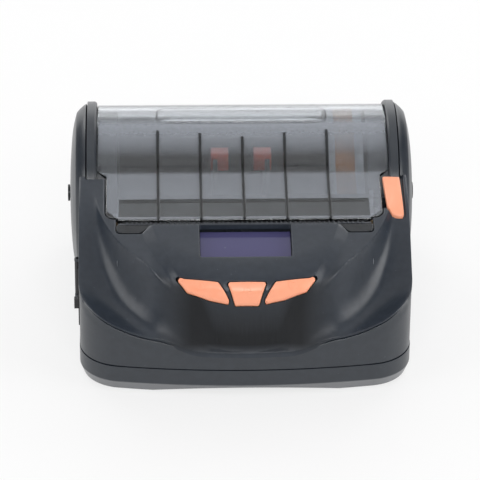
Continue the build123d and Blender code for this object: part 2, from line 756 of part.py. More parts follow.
def build_tab(side):
    x = side * GUIDE_X
    inner, outer = sorted((x - side * 4.6, x + side * 1.4))
    tab = box(inner, outer, DRUM_Y - 3.6, DRUM_Y + 3.6, 39.5, 47.0)
    tab = fillet(tab.edges().filter_by(Axis.X), 1.6)
    return tab - rod_x(GUIDE_R, x - GUIDE_T / 2, x + GUIDE_T / 2, DRUM_Y, DRUM_Z)


idler_at, motor_at = gear_axes()

save("base_shell", build_base())
save("top_shell", build_top_shell())
save("rear_housing", build_rear_housing())
right_cheek = build_cheek()
save("right_cheek", right_cheek)
save("left_cheek", mirror_x(right_cheek))
right_cap = build_cap()
save("right_side_cap", right_cap)
save("left_side_cap", mirror_x(right_cap))
stud = rod_x(STUD_NECK_R, CAP_OUT_X - CAP_T, STUD_OUT_X - 0.5, DRUM_Y, DRUM_Z)
stud += rod_x(STUD_R, CAP_OUT_X + 0.02, STUD_OUT_X, DRUM_Y, DRUM_Z)
save("strap_studs", stud, mirror_x(stud))
save("cover_window", build_window())
save("hinge_bar", build_hinge_bar())
save("platen_holder", build_holder())

shaft = rod_x(SHAFT_R, -SHAFT_HALF_L, SHAFT_HALF_L, PLATEN_Y, PLATEN_Z)
save("platen_shaft", shaft)
roller = rod_x(PLATEN_R, -PLATEN_HALF_L, PLATEN_HALF_L, PLATEN_Y, PLATEN_Z)
save("platen_roller", roller - rod_x(SHAFT_R, -60, 60, PLATEN_Y, PLATEN_Z))
bush = rod_x(BUSH_R, BUSH_X0, BUSH_X0 + BUSH_W, PLATEN_Y, PLATEN_Z)
bush -= rod_x(SHAFT_R + SHAFT_FIT, 0, 60, PLATEN_Y, PLATEN_Z)
save("platen_bushes", bush, mirror_x(bush))

idler_turn = meshed(IDLER_ANGLE, PLATEN_TEETH, 0.0, IDLER_TEETH)
pinion_turn = meshed(MOTOR_ANGLE, IDLER_TEETH, idler_turn, PINION_TEETH)
gear_place = Pos(GEAR_X, 0, 0)
save("platen_gear", gear_place * Pos(0, PLATEN_Y, PLATEN_Z) * gear(PLATEN_TEETH, SHAFT_R + 0.02, 0.0))
idler = gear(IDLER_TEETH, IDLER_PIN_R + SHAFT_FIT, idler_turn)
save("idler_gear", gear_place * Pos(0, *idler_at) * idler)
pinion = gear(PINION_TEETH, MOTOR_SHAFT_R, pinion_turn)
save("motor_pinion", gear_place * Pos(0, *motor_at) * pinion)
pin_end = -(BUSH_X0 + 0.1)
pin = rod_x(IDLER_PIN_R, GEAR_X - 0.5, pin_end, *idler_at)
save("idler_pin", pin + rod_x(IDLER_PIN_R + 0.9, GEAR_X - 0.9, GEAR_X - 0.3, *idler_at))
motor_x = -(BUSH_X0 + 0.1) + 0.05
save("motor_shaft", rod_x(MOTOR_SHAFT_R, GEAR_X, motor_x + 6, *motor_at))
can = rod_x(MOTOR_R, motor_x, motor_x + MOTOR_L, *motor_at)
can = chamfer(can.edges(), 0.6)
save("feed_motor", can - rod_x(MOTOR_SHAFT_R + SHAFT_FIT, motor_x - 1, motor_x + 6.3, *motor_at))
save("mech_frame", build_frame(idler_at, motor_at))

head = box(-HEAD_HALF_W, HEAD_HALF_W, HEAD_FACE_Y - HEAD_T, HEAD_FACE_Y, HEAD_LOW_Z, HEAD_TOP_Z - 0.5)
save("print_head", head)
sink_half = HOLDER_HALF_W - 0.2
save("head_sink", box(-sink_half, sink_half, SINK_Y, SINK_Y + SINK_T, SINK_LOW_Z, HEAD_TOP_Z))
coil_y = SINK_Y - WIRE_R - 0.15
coil = [
    ring
    for x in (-16, 16)
    for ring in rings(2.0, WIRE_R, Pos(x, coil_y, SINK_LOW_Z + 5) * Rot(90, 0, 0), 0.8, 7)
]
save("head_springs", *coil)
save("tear_blade", build_blade())
bezel = Pos(0, 0, 30) * extrude(bezel_face(0), amount=40)
bezel &= slab(BEZEL_Y - 8, BLADE_Y - 0.05, -0.25, 3, 60)
save("tear_bezel", bezel)

well = drum(WELL_R + WELL_T, CHAMBER_HALF_W - SIDE_GAP) - drum(WELL_R, 60)
well -= box(-60, 60, -40, 80, WELL_TOP_Z, 90)
save("paper_well", well)
chute_half = HOLDER_HALF_W - 0.3
chute = rod_x(CHUTE_R + CHUTE_T, -chute_half, chute_half, PLATEN_Y, PLATEN_Z)
chute -= rod_x(CHUTE_R, -60, 60, PLATEN_Y, PLATEN_Z)
chute &= box(-60, 60, HEAD_FACE_Y + 0.4, 0, 20, HOLDER_LOW_Z - 1.0)
ramp = [(-13.3, 34.0), (-6.9, 38.2), (-6.9, 36.8), (-12.6, 32.8)]
chute += prism_x(ramp, -chute_half, chute_half)
save("paper_chute", chute)

window_in = COVER_R - COVER_T
for name, x0, x1, out_r, in_r in (
    ("sensor_flex", 31.6, 38.2, window_in - 0.08, window_in - 0.28),
    ("flex_tape", 28.8, 41.2, window_in - 0.5, window_in - 0.7),
):
    band = rod_x(out_r, x0, x1, DRUM_Y, DRUM_Z) - drum(in_r, 70)
    band &= wedge(KINK_ANGLE + 1.5, COVER_END_ANGLE - 90 + 13)
    band -= slab(-30, KINK_Y + 3, COVER_T + window_in - in_r, 30, 60)
    flat = slab(HOLDER_REAR_Y + 0.2, KINK_Y + 3, COVER_T + window_in - out_r, COVER_T + window_in - in_r, 60)
    flat &= box(x0, x1, -40, 40, 30, 60)
    flat -= drum(out_r, 70)
    save(name, band + flat)

hinge_half = KNUCKLE_X1 + EAR_GAP + EAR_W
save("hinge_pin", rod_x(PIN_R, -hinge_half, hinge_half, HINGE_Y, HINGE_Z))
coil_x = KNUCKLE_X0 - EAR_GAP - EAR_W - 1 - 0.8 * SPRING_TURNS
coil = [
    ring
    for x in (-coil_x - 0.8 * (SPRING_TURNS - 1), coil_x)
    for ring in rings(SPRING_R, WIRE_R, Pos(x, HINGE_Y, HINGE_Z) * Rot(0, 90, 0), 0.8, SPRING_TURNS)
]
save("hinge_springs", *coil)

lever = Pos(0, 0, 42) * extrude(lever_face(0), amount=30)
lever = lever & under_deck(LEVER_RAISE)
lever -= under_deck(-LEVER_T)
lever -= drum(CHEEK_R + DRUM_GAP, 70)
lever += rod_x(2.0, 48.8, 52.4, LEVER_PIVOT_Y, LEVER_PIVOT_Z)
hub = box(48.8, 52.4, LEVER_PIVOT_Y - 1.6, LEVER_PIVOT_Y + 1.6, LEVER_PIVOT_Z, 55)
lever += hub & under_deck(-0.5)
lever -= rod_x(LEVER_PIN_R + SHAFT_FIT, 40, 60, LEVER_PIVOT_Y, LEVER_PIVOT_Z)
save("release_lever", lever)
wall_x = BODY_HALF_W - WALL
save("lever_pin", rod_x(LEVER_PIN_R, BUSH_X0 + 0.1, wall_x, LEVER_PIVOT_Y, LEVER_PIVOT_Z))
save("latch_hook", build_latch())
latch_end = LATCH_X + LATCH_T + 0.6
save("latch_pin", rod_x(LATCH_PIN_R, BUSH_X0 + 0.1, latch_end, LATCH_PIVOT_Y, LATCH_PIVOT_Z))

lens = tilted(0, SCREEN_Y, SCREEN_DEPTH + LENS_T / 2) * Box(SCREEN_W, SCREEN_D, LENS_T)
save("display_lens", lens)
module_top = DECK_T + 0.25
module = tilted(0, SCREEN_Y - 0.9, module_top + MODULE_T / 2) * Box(35, 17, MODULE_T)
pocket_low = SCREEN_DEPTH + LENS_T + 0.05
pocket = tilted(0, SCREEN_Y, pocket_low - 3) * Box(SCREEN_W + 0.3, SCREEN_D + 0.3, 6)
save("display_module", module - pocket)
for name, points in BUTTONS.items():
    key = button_prism(points, 0, FLANGE_TOP - 0.1, 12) & under_deck(BUTTON_RAISE)
    key += button_prism(points, FLANGE, FLANGE_TOP - FLANGE_T, FLANGE_TOP)
    save(name, key)
key_plan = ((-29, 4), (-29, -0.5), (-18, -5.5), (18, -5.5), (29, -0.5), (29, 4))
save("key_board", button_prism(key_plan, 0, KEY_BOARD_TOP - KEY_BOARD_T, KEY_BOARD_TOP))
switches = [
    button_frame() * Pos(x, y, KEY_BOARD_TOP + SWITCH_H / 2) * Box(SWITCH_W, SWITCH_W, SWITCH_H)
    for x, y in SWITCH_PLACES
]
save("key_switches", *switches)

save("main_board", box(BOARD_X0, BOARD_X1, BOARD_Y0, BOARD_Y1, BOARD_Z, BOARD_Z + BOARD_T))
battery = box(BATTERY_X0, BATTERY_X1, BATTERY_Y0, BATTERY_Y1, BASE_Z, BASE_Z + BATTERY_H)
battery = fillet(battery.edges().filter_by(Axis.Z), 2.0)
battery -= box(11, 19, BATTERY_Y1 - 2.5, BATTERY_Y1 + 1, TABLE_Z, BASE_Z + 1.2)
save("battery_pack", battery)
latch = latch_box(0, 0, BASE_Z, FLOOR_Z - 0.2)
for i in range(3):
    latch -= box(11, 19, BATTERY_Y1 + 3 + i * 1.4, BATTERY_Y1 + 3.6 + i * 1.4, TABLE_Z, BASE_Z + 0.4)
save("battery_latch", latch)
feet = [
    rod_z(FOOT_R, x, y, TABLE_Z, BASE_Z)
    for x in (-46.5, 46.5)
    for y in (-42, 41)
]
save("rubber_feet", *feet)
screws = []
for x, y in screw_places():
    screw = rod_z(SCREW_R, x, y, BASE_Z + 0.1, BASE_Z + 1.5)
    screw += rod_z(1.25, x, y, BASE_Z + 1, PART_Z - 0.5)
    slot = box(x - 1.3, x + 1.3, y - 0.3, y + 0.3, TABLE_Z, BASE_Z + 0.8)
    cross = box(x - 0.3, x + 0.3, y - 1.3, y + 1.3, TABLE_Z, BASE_Z + 0.8)
    screws.append(screw - slot - cross)
save("case_screws", *screws)

flap_x = -BODY_HALF_W + FLAP_SUNK
port_pin_x = -PORT_PIN_X
flap = box(flap_x - FLAP_T, flap_x, PORT_Y0, PORT_Y1 - 0.5, PORT_Z0, PORT_Z1)
flap = fillet(flap.edges().filter_by(Axis.X), 2.0)
tab_x = flap_x - FLAP_T
flap += box(tab_x - 1.4, tab_x + 0.2, PORT_Y0 + 0.6, PORT_Y0 + 2.4, PORT_Z1 - 6, PORT_Z1 - 2.4)
flap += rod_z(PORT_KNUCKLE_R, port_pin_x, PORT_Y1, PORT_Z0 + 0.2, PORT_Z1 - 0.2)
flap += box(port_pin_x, flap_x, PORT_Y1 - 1.6, PORT_Y1 - 0.5, PORT_Z0 + 2.4, PORT_Z1 - 2.4)
flap -= rod_z(PORT_PIN_R + SHAFT_FIT, port_pin_x, PORT_Y1, 0, 40)
save("port_cover", flap)
save("port_pin", rod_z(PORT_PIN_R, port_pin_x, PORT_Y1, PORT_Z0 - LUG_T, PORT_Z1 + LUG_T))
usb = box(-54.3, -48.2, -31.6, -22.8, PORT_Z0 + 3.65, PORT_Z0 + 6.9)
usb -= box(-56, -50, -31.1, -23.3, PORT_Z0 + 4.15, PORT_Z0 + 6.4)
usb += box(-54.0, -49, -30.4, -24.0, PORT_Z0 + 5.0, PORT_Z0 + 5.6)
save("usb_socket", usb)
jack = rod_x(2.5, -54.3, -48.2, -20.0, PORT_Z0 + 6.15)
jack -= rod_x(1.9, -56, -50, -20.0, PORT_Z0 + 6.15)
jack += rod_x(0.6, -54.0, -49, -20.0, PORT_Z0 + 6.15)
save("dc_socket", jack)
save("io_board", box(-53, -47.6, PORT_Y0 + 1, PORT_Y1 - 1, PORT_Z0 + 2, PORT_Z0 + 3.6))

rail_half = CHAMBER_HALF_W + CHEEK_T
save("guide_rail", rod_x(RAIL_R, -rail_half, rail_half, DRUM_Y, RAIL_Z))
for side, name in ((-1, "left"), (1, "right")):
    save(name + "_paper_guide", build_guide(side))
    save(name + "_guide_tab", build_tab(side))
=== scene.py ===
from math import cos, pi, radians, sin, tan

import bmesh
import bpy
import numpy as np
from mathutils import Matrix, Vector
from mathutils.geometry import delaunay_2d_cdt


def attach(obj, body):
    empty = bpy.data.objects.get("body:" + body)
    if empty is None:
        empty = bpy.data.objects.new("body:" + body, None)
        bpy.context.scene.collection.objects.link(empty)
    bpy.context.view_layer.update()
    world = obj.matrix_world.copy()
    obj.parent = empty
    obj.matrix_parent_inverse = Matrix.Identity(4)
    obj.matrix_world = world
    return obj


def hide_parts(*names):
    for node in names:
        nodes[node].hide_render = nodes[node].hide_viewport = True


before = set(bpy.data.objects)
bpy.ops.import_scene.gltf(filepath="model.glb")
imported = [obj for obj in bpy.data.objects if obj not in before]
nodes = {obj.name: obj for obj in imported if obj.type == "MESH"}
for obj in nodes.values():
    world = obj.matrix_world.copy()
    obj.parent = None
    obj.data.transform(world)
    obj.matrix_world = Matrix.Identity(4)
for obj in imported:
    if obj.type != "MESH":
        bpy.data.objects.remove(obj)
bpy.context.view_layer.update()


# Lower shell: a shallow ABS tray, black and spark-textured, that carries the whole printer. It is
# moulded in one piece and closes against the upper shell at the seam; the chamfer under its edge is
# painted pale grey, painted light for the white floor's glow on it.
MM = 0.001


def node_group(name, takes, gives):
    """Empty shader group with named float inputs and typed outputs."""
    tree = bpy.data.node_groups.new(name, "ShaderNodeTree")
    tree.interface.new_socket("Place", in_out="INPUT", socket_type="NodeSocketVector")
    for label, value in takes:
        socket = tree.interface.new_socket(label, in_out="INPUT", socket_type="NodeSocketFloat")
        socket.default_value = value
    for label in gives:
        tree.interface.new_socket(label, in_out="OUTPUT", socket_type="NodeSocketFloat")
    return tree, tree.nodes.new("NodeGroupInput"), tree.nodes.new("NodeGroupOutput")


def made(tree, kind, **inputs):
    """First output of a new node, with its inputs set or linked by name."""
    node = tree.nodes.new(kind)
    for label, value in inputs.items():
        socket = node.inputs[label.replace("_", " ")]
        if isinstance(value, bpy.types.NodeSocket):
            tree.links.new(value, socket)
        else:
            socket.default_value = value
    return node.outputs[0]


def noise(tree, place, scale, detail=2.0, rough=0.5):
    return made(tree, "ShaderNodeTexNoise", Vector=place, Scale=scale, Detail=detail, Roughness=rough)


def spread(tree, value, low, high, to_low=0.0, to_high=1.0):
    """Value brought from one range to another and held inside it."""
    ends = {"From_Min": low, "From_Max": high, "To_Min": to_low, "To_Max": to_high}
    return made(tree, "ShaderNodeMapRange", Value=value, **ends)


def split(tree, place):
    """The X, Y and Z of a place in a material."""
    return made(tree, "ShaderNodeSeparateXYZ", Vector=place).node.outputs


def sums(tree, operation, first, second):
    node = tree.nodes.new("ShaderNodeMath")
    node.operation = operation
    for socket, value in zip(node.inputs, (first, second)):
        if isinstance(value, (int, float)):
            socket.default_value = value
        else:
            tree.links.new(value, socket)
    return node.outputs[0]


def make_mould_grain():
    """Spark-eroded mould texture: fine pits over a slightly slower mottle."""
    tree, take, give = node_group("mould grain", [("Pits per m", 2600.0)], ["Height", "Tone"])
    pits = noise(tree, take.outputs["Place"], take.outputs["Pits per m"], 3.0, 0.6)
    slow = noise(tree, take.outputs["Place"], 420.0, 2.0)
    tree.links.new(sums(tree, "ADD", pits, sums(tree, "MULTIPLY", slow, 0.35)), give.inputs["Height"])
    tree.links.new(spread(tree, slow, 0.3, 0.7), give.inputs["Tone"])
    return tree


def make_handling():
    """Where hands and dust have been: broad smudges and small specks."""
    tree, take, give = node_group("handling", [("Specks per m", 900.0)], ["Smudge", "Specks"])
    broad = noise(tree, take.outputs["Place"], 38.0, 3.0, 0.55)
    tree.links.new(spread(tree, broad, 0.4, 0.68), give.inputs["Smudge"])
    fine = noise(tree, take.outputs["Place"], take.outputs["Specks per m"], 1.0)
    tree.links.new(spread(tree, fine, 0.76, 0.82), give.inputs["Specks"])
    return tree


MOULD_GRAIN = make_mould_grain()
HANDLING = make_handling()


def start_material(name):
    """Material with its Principled shader and Object coordinates at hand."""
    material = bpy.data.materials.new(name)
    material.use_nodes = True
    tree = material.node_tree
    shader = tree.nodes["Principled BSDF"]
    place = tree.nodes.new("ShaderNodeTexCoord").outputs["Object"]
    return material, tree, shader, place


def add_group(tree, group, place, **values):
    node = tree.nodes.new("ShaderNodeGroup")
    node.node_tree = group
    tree.links.new(place, node.inputs["Place"])
    for label, value in values.items():
        node.inputs[label.replace("_", " ")].default_value = value
    return node.outputs


def mixed(tree, mask, dark, light):
    node = tree.nodes.new("ShaderNodeMix")
    node.data_type = "RGBA"
    tree.links.new(mask, node.inputs["Factor"])
    for label, value in (("A", dark), ("B", light)):
        socket = [s for s in node.inputs if s.name == label and s.type == "RGBA"][0]
        if isinstance(value, tuple):
            socket.default_value = value + (1.0,)
        else:
            tree.links.new(value, socket)
    return [s for s in node.outputs if s.type == "RGBA"][0]


def coat(tree, shader, colour, rough):
    """Link a material's colour and roughness."""
    tree.links.new(colour, shader.inputs["Base Color"])
    tree.links.new(rough, shader.inputs["Roughness"])


def paint_over(tree, shader, mask, tone):
    """Lay a tone over a material's own colour where the mask says."""
    colour = shader.inputs["Base Color"].links[0].from_socket
    tree.links.new(mixed(tree, mask, colour, tone), shader.inputs["Base Color"])


def bump(tree, shader, height, distance, strength=1.0):
    normal = made(tree, "ShaderNodeBump", Distance=distance, Strength=strength, Height=height)
    tree.links.new(normal, shader.inputs["Normal"])


def moulded_plastic(name, dark, light, rough, polish=0.08, specular=0.5):
    """Injection-moulded plastic with its mould grain, smudges and a few specks of dust."""
    material, tree, shader, place = start_material(name)
    grain = add_group(tree, MOULD_GRAIN, place)
    hands = add_group(tree, HANDLING, place)
    base = mixed(tree, grain["Tone"], dark, light)
    dusty = tuple(min(1.0, 1.6 * c + 0.015) for c in light)
    shine = spread(tree, hands["Smudge"], 0.0, 1.0, rough, rough - polish)
    coat(tree, shader, mixed(tree, hands["Specks"], base, dusty), shine)
    shader.inputs["Specular IOR Level"].default_value = specular
    bump(tree, shader, grain["Height"], 0.00002)
    return material


def reopened(material):
    """Tree, shader and parts of the place of a finished material."""
    tree = material.node_tree
    place = tree.nodes["Texture Coordinate"].outputs["Object"]
    return tree, tree.nodes["Principled BSDF"], split(tree, place)


def dress(name, material):
    """Give a node of the solid model its material."""
    mesh = nodes[name].data
    mesh.materials.clear()
    mesh.materials.append(material)
    return nodes[name]


BODY_TONES = ((0.014, 0.019, 0.027), (0.019, 0.025, 0.034), 0.37)
body_black = moulded_plastic("body black", *BODY_TONES, specular=0.7)
inner_black = moulded_plastic("inner black", (0.010, 0.013, 0.016), (0.014, 0.018, 0.022), 0.36, 0.05)
tray_black = moulded_plastic("lower shell black", *BODY_TONES, specular=0.7)
tree, shader, parts = reopened(tray_black)
# Painted light: the chamfer under the lower shell's edge is painted pale grey for the white floor's glow on
# it.
floor_glow_paint = spread(tree, parts["Z"], 0.0036, 0.0041, 1.0, 0.0)
paint_over(tree, shader, floor_glow_paint, (0.19, 0.195, 0.205))
dress("base_shell", tray_black)


# Upper shell: the same black ABS, one moulding with the sloping console, the round nose over the keys
# and the hollow flanks. Its rim stands a little proud of the wall below; four screws hold it from under.
# A hole in the left wall takes the socket flap, which swings between two small lugs.
BODY_HALF_W = 55.4
SEAM_Z = 9.75
DRUM_AT = (21.0, 33.6)
SLOPE = tan(radians(12.5))
NOSE_Y = -8.0
NOSE_ROLL_R = 12.0
PANEL_PROUD = 1.4


def soft(value, width):
    return width * np.logaddexp(0.0, np.asarray(value, float) / width)


def smooth_step(value, low, high):
    t = np.clip((value - low) / (high - low), 0.0, 1.0)
    return t * t * (3 - 2 * t)


def deck_plane(y):
    return 48.4 + (y + 25.0) * SLOPE


def console_edge(y):
    """Half width of the raised centre panel, which narrows in a curve towards the keys."""
    places = (-53.5, -51.9, -48.4, -46.0, -42.3, -36.0, -29.6)
    return np.interp(y, places, (22.3, 23.2, 25.3, 27.3, 30.0, 33.0, 34.9))


def facet_width(y):
    """Width of the bright sloping strip along each side of the panel."""
    return np.interp(y, (-52.0, -48.0, -43.0, -29.0), (1.6, 2.4, 3.6, 4.0))


def deck(x, y):
    """Height of the upper shell at a place in plan."""
    radius = np.hypot(x, y - NOSE_Y)
    over = np.minimum(soft(radius - 38.5, 0.6), 11.64)
    weight = 1 - smooth_step(abs(x), 22.0, 34.0)
    top = deck_plane(y) - weight * (NOSE_ROLL_R - np.sqrt(NOSE_ROLL_R**2 - over**2))
    edge = 15.2 + 0.0053 * x * x + 0.75 * soft(y + 44.0, 2.0)
    edge = top - soft(top - edge, 1.5)
    outward = smooth_step(abs(x), 10.0, 30.0)
    beyond = soft(radius - 48.2 - 1.8 * outward, 0.1)
    height = edge + (top - edge) * np.exp(-beyond / (0.3 + 2.3 * outward))
    panel = np.clip((console_edge(y) - abs(x)) / facet_width(y), 0.0, 1.0)
    ahead = 1 - smooth_step(radius, 49.5, 53.0)
    return height + PANEL_PROUD * panel * ahead * smooth_step(-y, 24.0, 28.0)


def fine(points, step):
    """Closed loop with its long sides divided."""
    out = []
    for a, b in zip(points, np.roll(points, -1, 0)):
        count = max(1, int(np.ceil(np.linalg.norm(b - a) / step)))
        out.extend(a + (b - a) * i / count for i in range(count))
    return np.array(out)


def rounded(points, radii, turn=0.2):
    """Closed outline with an arc at each corner; turn is the arc's step in radians."""
    points = np.array(points, float)
    out = []
    for i, r in enumerate(radii):
        here, before, after = points[i], points[i - 1], points[(i + 1) % len(points)]
        if r <= 0:
            out.append(here)
            continue
        u = (before - here) / np.linalg.norm(before - here)
        v = (after - here) / np.linalg.norm(after - here)
        half = np.arccos(np.clip(u @ v, -1, 1)) / 2
        middle = here + (u + v) / np.linalg.norm(u + v) * (r / sin(half))
        a = here + u * r / tan(half) - middle
        b = here + v * r / tan(half) - middle
        sweep = pi - 2 * half
        count = max(2, int(sweep / turn))
        side = np.sign(a[0] * b[1] - a[1] * b[0])
        for k in range(count + 1):
            angle = side * sweep * k / count
            c, d = cos(angle), sin(angle)
            out.append(middle + (a[0] * c - a[1] * d, a[0] * d + a[1] * c))
    return np.array(out)


def softened(corners, turn=0.2):
    """Rounded outline from corners given as (x, y, radius)."""
    return rounded([p[:2] for p in corners], [p[2] for p in corners], turn)


def rectangle(low_x, low_y, high_x, high_y, radius, turn):
    """Rounded rectangle, from its low corner."""
    corners = [(low_x, low_y), (high_x, low_y), (high_x, high_y), (low_x, high_y)]
    return rounded(corners, [radius] * 4, turn)


def area(loop):
    nxt = np.roll(loop, -1, 0)
    return 0.5 * np.sum(loop[:, 0] * nxt[:, 1] - nxt[:, 0] * loop[:, 1])


def inward(loop, distance):
    """Loop moved to its left, which is into the material."""
    back = loop - np.roll(loop, 1, 0)
    ahead = np.roll(loop, -1, 0) - loop
    back = back / np.maximum(np.linalg.norm(back, axis=1, keepdims=True), 1e-9)
    ahead = ahead / np.maximum(np.linalg.norm(ahead, axis=1, keepdims=True), 1e-9)
    first = np.stack([-back[:, 1], back[:, 0]], 1)
    second = np.stack([-ahead[:, 1], ahead[:, 0]], 1)
    share = np.maximum(1 + np.sum(first * second, 1, keepdims=True), 0.35)
    return loop + distance * (first + second) / share


def within(points, loops):
    """Even-odd test of points against all the loops together."""
    hits = np.zeros(len(points), int)
    for loop in loops:
        nxt = np.roll(loop, -1, 0)
        for (ax, ay), (bx, by) in zip(loop, nxt):
            if ay == by:
                continue
            crossing = (ay > points[:, 1]) != (by > points[:, 1])
            at = ax + (points[:, 1] - ay) * (bx - ax) / (by - ay)
            hits += crossing & (points[:, 0] < at)
    return hits % 2 == 1


def tiled(loops, step, extra=()):
    """Triangles that fill the loops, and each loop's own vertex numbers."""
    low = np.min(loops[0], 0)
    high = np.max(loops[0], 0)
    grid = []
    for row, v in enumerate(np.arange(low[1] + step / 2, high[1], step * 0.87)):
        us = np.arange(low[0] + step * (0.25 + 0.5 * (row % 2)), high[0], step)
        grid.append(np.stack([us, np.full(len(us), v)], 1))
    grid = np.concatenate(grid)
    if len(extra):
        extra = np.array(extra, float)
        near = [np.sum((extra - g) ** 2, 1).min() > (0.5 * step) ** 2 for g in grid]
        grid = np.concatenate([grid[near], extra])
    border = np.concatenate(loops)
    grid = grid[within(grid, loops)]
    keep = np.ones(len(grid), bool)
    for point in border:
        keep &= np.sum((grid - point) ** 2, 1) > (0.3 * step) ** 2
    points = np.concatenate([border, grid[keep]])
    ends = np.cumsum([len(loop) for loop in loops]).tolist()
    rings = [list(range(end - len(loop), end)) for end, loop in zip(ends, loops)]
    edges = [pair for ring in rings for pair in zip(ring, ring[1:] + ring[:1])]
    result = delaunay_2d_cdt([Vector(p) for p in points], edges, [], 0, 1e-6)
    flat = np.array([tuple(v) for v in result[0]])
    tris = np.array(result[2])
    tris = tris[within(flat[tris].mean(1), loops)]
    to_new = {}
    for new, olds in enumerate(result[3]):
        for old in olds:
            to_new[old] = new
    return flat, tris, [[to_new[i] for i in ring] for ring in rings]


def band(upper, lower):
    """Quads between two closed rows of vertex numbers."""
    return list(zip(upper, upper[1:] + upper[:1], lower[1:] + lower[:1], lower))


def put(name, data):
    """Object in the scene."""
    piece = bpy.data.objects.new(name, data)
    bpy.context.scene.collection.objects.link(piece)
    return piece


def finish_mesh(name, verts, faces, material):
    """Mesh object in metres with smooth shading and outward faces."""
    mesh = bpy.data.meshes.new(name)
    mesh.from_pydata([tuple(v) for v in np.asarray(verts) * MM], [], [tuple(f) for f in faces])
    work = bmesh.new()
    work.from_mesh(mesh)
    bmesh.ops.remove_doubles(work, verts=work.verts, dist=1e-7)
    bmesh.ops.recalc_face_normals(work, faces=work.faces)
    work.to_mesh(mesh)
    work.free()
    mesh.shade_smooth()
    mesh.set_sharp_from_angle(angle=radians(35))
    mesh.materials.append(material)
    return put(name, mesh)


def moulding(name, loops, place, step, edge, thick, material, extra=()):
    """Closed shell over an outline with holes. place(u, v, depth) gives points in mm.

    step is the size of its triangles and thick its depth, in mm. edge is the rounding at the rims: one
    number, or a list with one for each loop. extra gives places where the surface needs points.
    """
    edges = edge if isinstance(edge, list) else [edge] * len(loops)
    oriented = []
    for i, loop in enumerate(loops):
        loop = np.array(loop, float)
        if (area(loop) > 0) != (i == 0):
            loop = loop[::-1]
        oriented.append(fine(loop, step))
    flat, tris, rims = tiled([inward(loop, e) for loop, e in zip(oriented, edges)], step, extra)
    verts = [place(flat[:, 0], flat[:, 1], 0.0), place(flat[:, 0], flat[:, 1], thick)]
    count = len(flat)
    faces = [tuple(t) for t in tris] + [tuple(t[::-1] + count) for t in tris]
    total = 2 * count
    turns = [pi / 2 * k / 3 for k in (1, 2, 3)]
    for loop, rim, radius in zip(oriented, rims, edges):
        rows = [(radius * (1 - sin(a)), radius * (1 - cos(a))) for a in turns] + [(0.0, thick)]
        before = list(rim)
        for back, depth in rows:
            ring = inward(loop, back)
            verts.append(place(ring[:, 0], ring[:, 1], depth))
            now = list(range(total, total + len(loop)))
            total += len(loop)
            faces += band(before, now)
            before = now
        faces += band(before, [r + count for r in rim])
    return finish_mesh(name, np.concatenate(verts), faces, material)


def body_line():
    """Plan outline of the body, dense, anticlockwise from the middle of the back."""
    bow_high, back_y = 5.5, 58.0
    radius = (BODY_HALF_W**2 + bow_high**2) / (2 * bow_high)
    angle = np.arcsin(BODY_HALF_W / radius)
    bow = [(radius * sin(a), -back_y + radius - radius * cos(a)) for a in np.linspace(-angle, angle, 61)]
    bow = [bow[0]] + [p for p in bow if abs(p[0]) < BODY_HALF_W - 15.9] + [bow[-1]]
    corners = [(0.0, back_y), (-BODY_HALF_W, back_y)] + bow + [(BODY_HALF_W, back_y)]
    radii = [0, 12.0, 15.0] + [0] * (len(bow) - 2) + [15.0, 12.0]
    return rounded(corners, radii, 0.06)


CAP_GAP_R = 31.1
RIM_GAP_R = 31.9


def meet_drum(x, radius):
    """Where the deck meets the drum's side circle at this x."""
    ys = np.linspace(-12.0, 2.0, 561)
    gap = np.hypot(ys - DRUM_AT[0], deck(x, ys) - DRUM_AT[1]) - radius
    return ys[np.argmax(gap < 0)]


def console_opening():
    """Edge of the mouth that the cover's lip, the bezel and the release lever share."""
    right = [(43.2 + 3.55 * cos(a), -20.7 + 3.55 * sin(a), 0) for a in np.linspace(0, -pi / 2, 8)]
    right += [(42.9, -24.25, 0), (42.9, -31.2, 1.6), (34.4, -31.2, 1.2), (31.8, -28.6, 1.2)]
    left = [(-x, y, r) for x, y, r in right]
    lever = [(46.75, -19.5, 0), (47.9, -19.8, 0.5), (49.5, -21.4, 1.0), (54.0, -21.98, 0.8)]
    return left + right[::-1] + lever


front = [p for p in body_line() if p[1] < -6.0]
front = sorted(front, key=lambda p: np.arctan2(p[0], -p[1]))
cap_y = meet_drum(54.0, CAP_GAP_R)
mouth = console_opening()
plan = [(-BODY_HALF_W, cap_y, 0)] + [(x, y, 0) for x, y in front]
plan += [(BODY_HALF_W, cap_y, 0), (54.0, cap_y, 0)] + mouth[::-1]
rim = [(x, meet_drum(x, RIM_GAP_R), 0) for x in (46.75, 47.6, 48.4, 49.2, 50.2, 51.4, 53.05)]
plan += [(-x, y, 0) for x, y, _ in rim] + [(-53.05, cap_y, 0)]
plan = softened(plan)


KEY_TILT = radians(35.0)
KEY_AT = (-51.6, 39.2)


def key_point(v, up):
    """Y and Z of a place in the keys' tilted plane, raised along their travel."""
    y = KEY_AT[0] + v * cos(KEY_TILT) - up * sin(KEY_TILT)
    z = KEY_AT[1] + v * sin(KEY_TILT) + up * cos(KEY_TILT)
    return y, z


def travel_to_deck(u, v):
    """How far along the keys' travel a place in their plane meets the deck."""
    low = np.full(len(u), -8.0)
    high = np.full(len(u), 8.0)
    for _ in range(40):
        half = (low + high) / 2
        y, z = key_point(v, half)
        under = z < deck(u, y)
        low = np.where(under, half, low)
        high = np.where(under, high, half)
    return half


def on_deck(points):
    """Plan places where the tilted key outlines come out of the deck."""
    y, _ = key_point(points[:, 1], travel_to_deck(points[:, 0], points[:, 1]))
    return np.stack([points[:, 0], y], 1)


KEY_SIDE = [(-24.0, 3.3), (-20.4, 1.7), (-9.4, -0.3), (-5.8, -5.7)]
KEY_SIDE += [(-6.2, -6.3), (-12.3, -4.9), (-19.7, -2.3)]
KEY_MIDDLE = [(-6.5, -0.5), (-3.9, -6.8), (3.9, -6.8), (6.5, -0.5)]


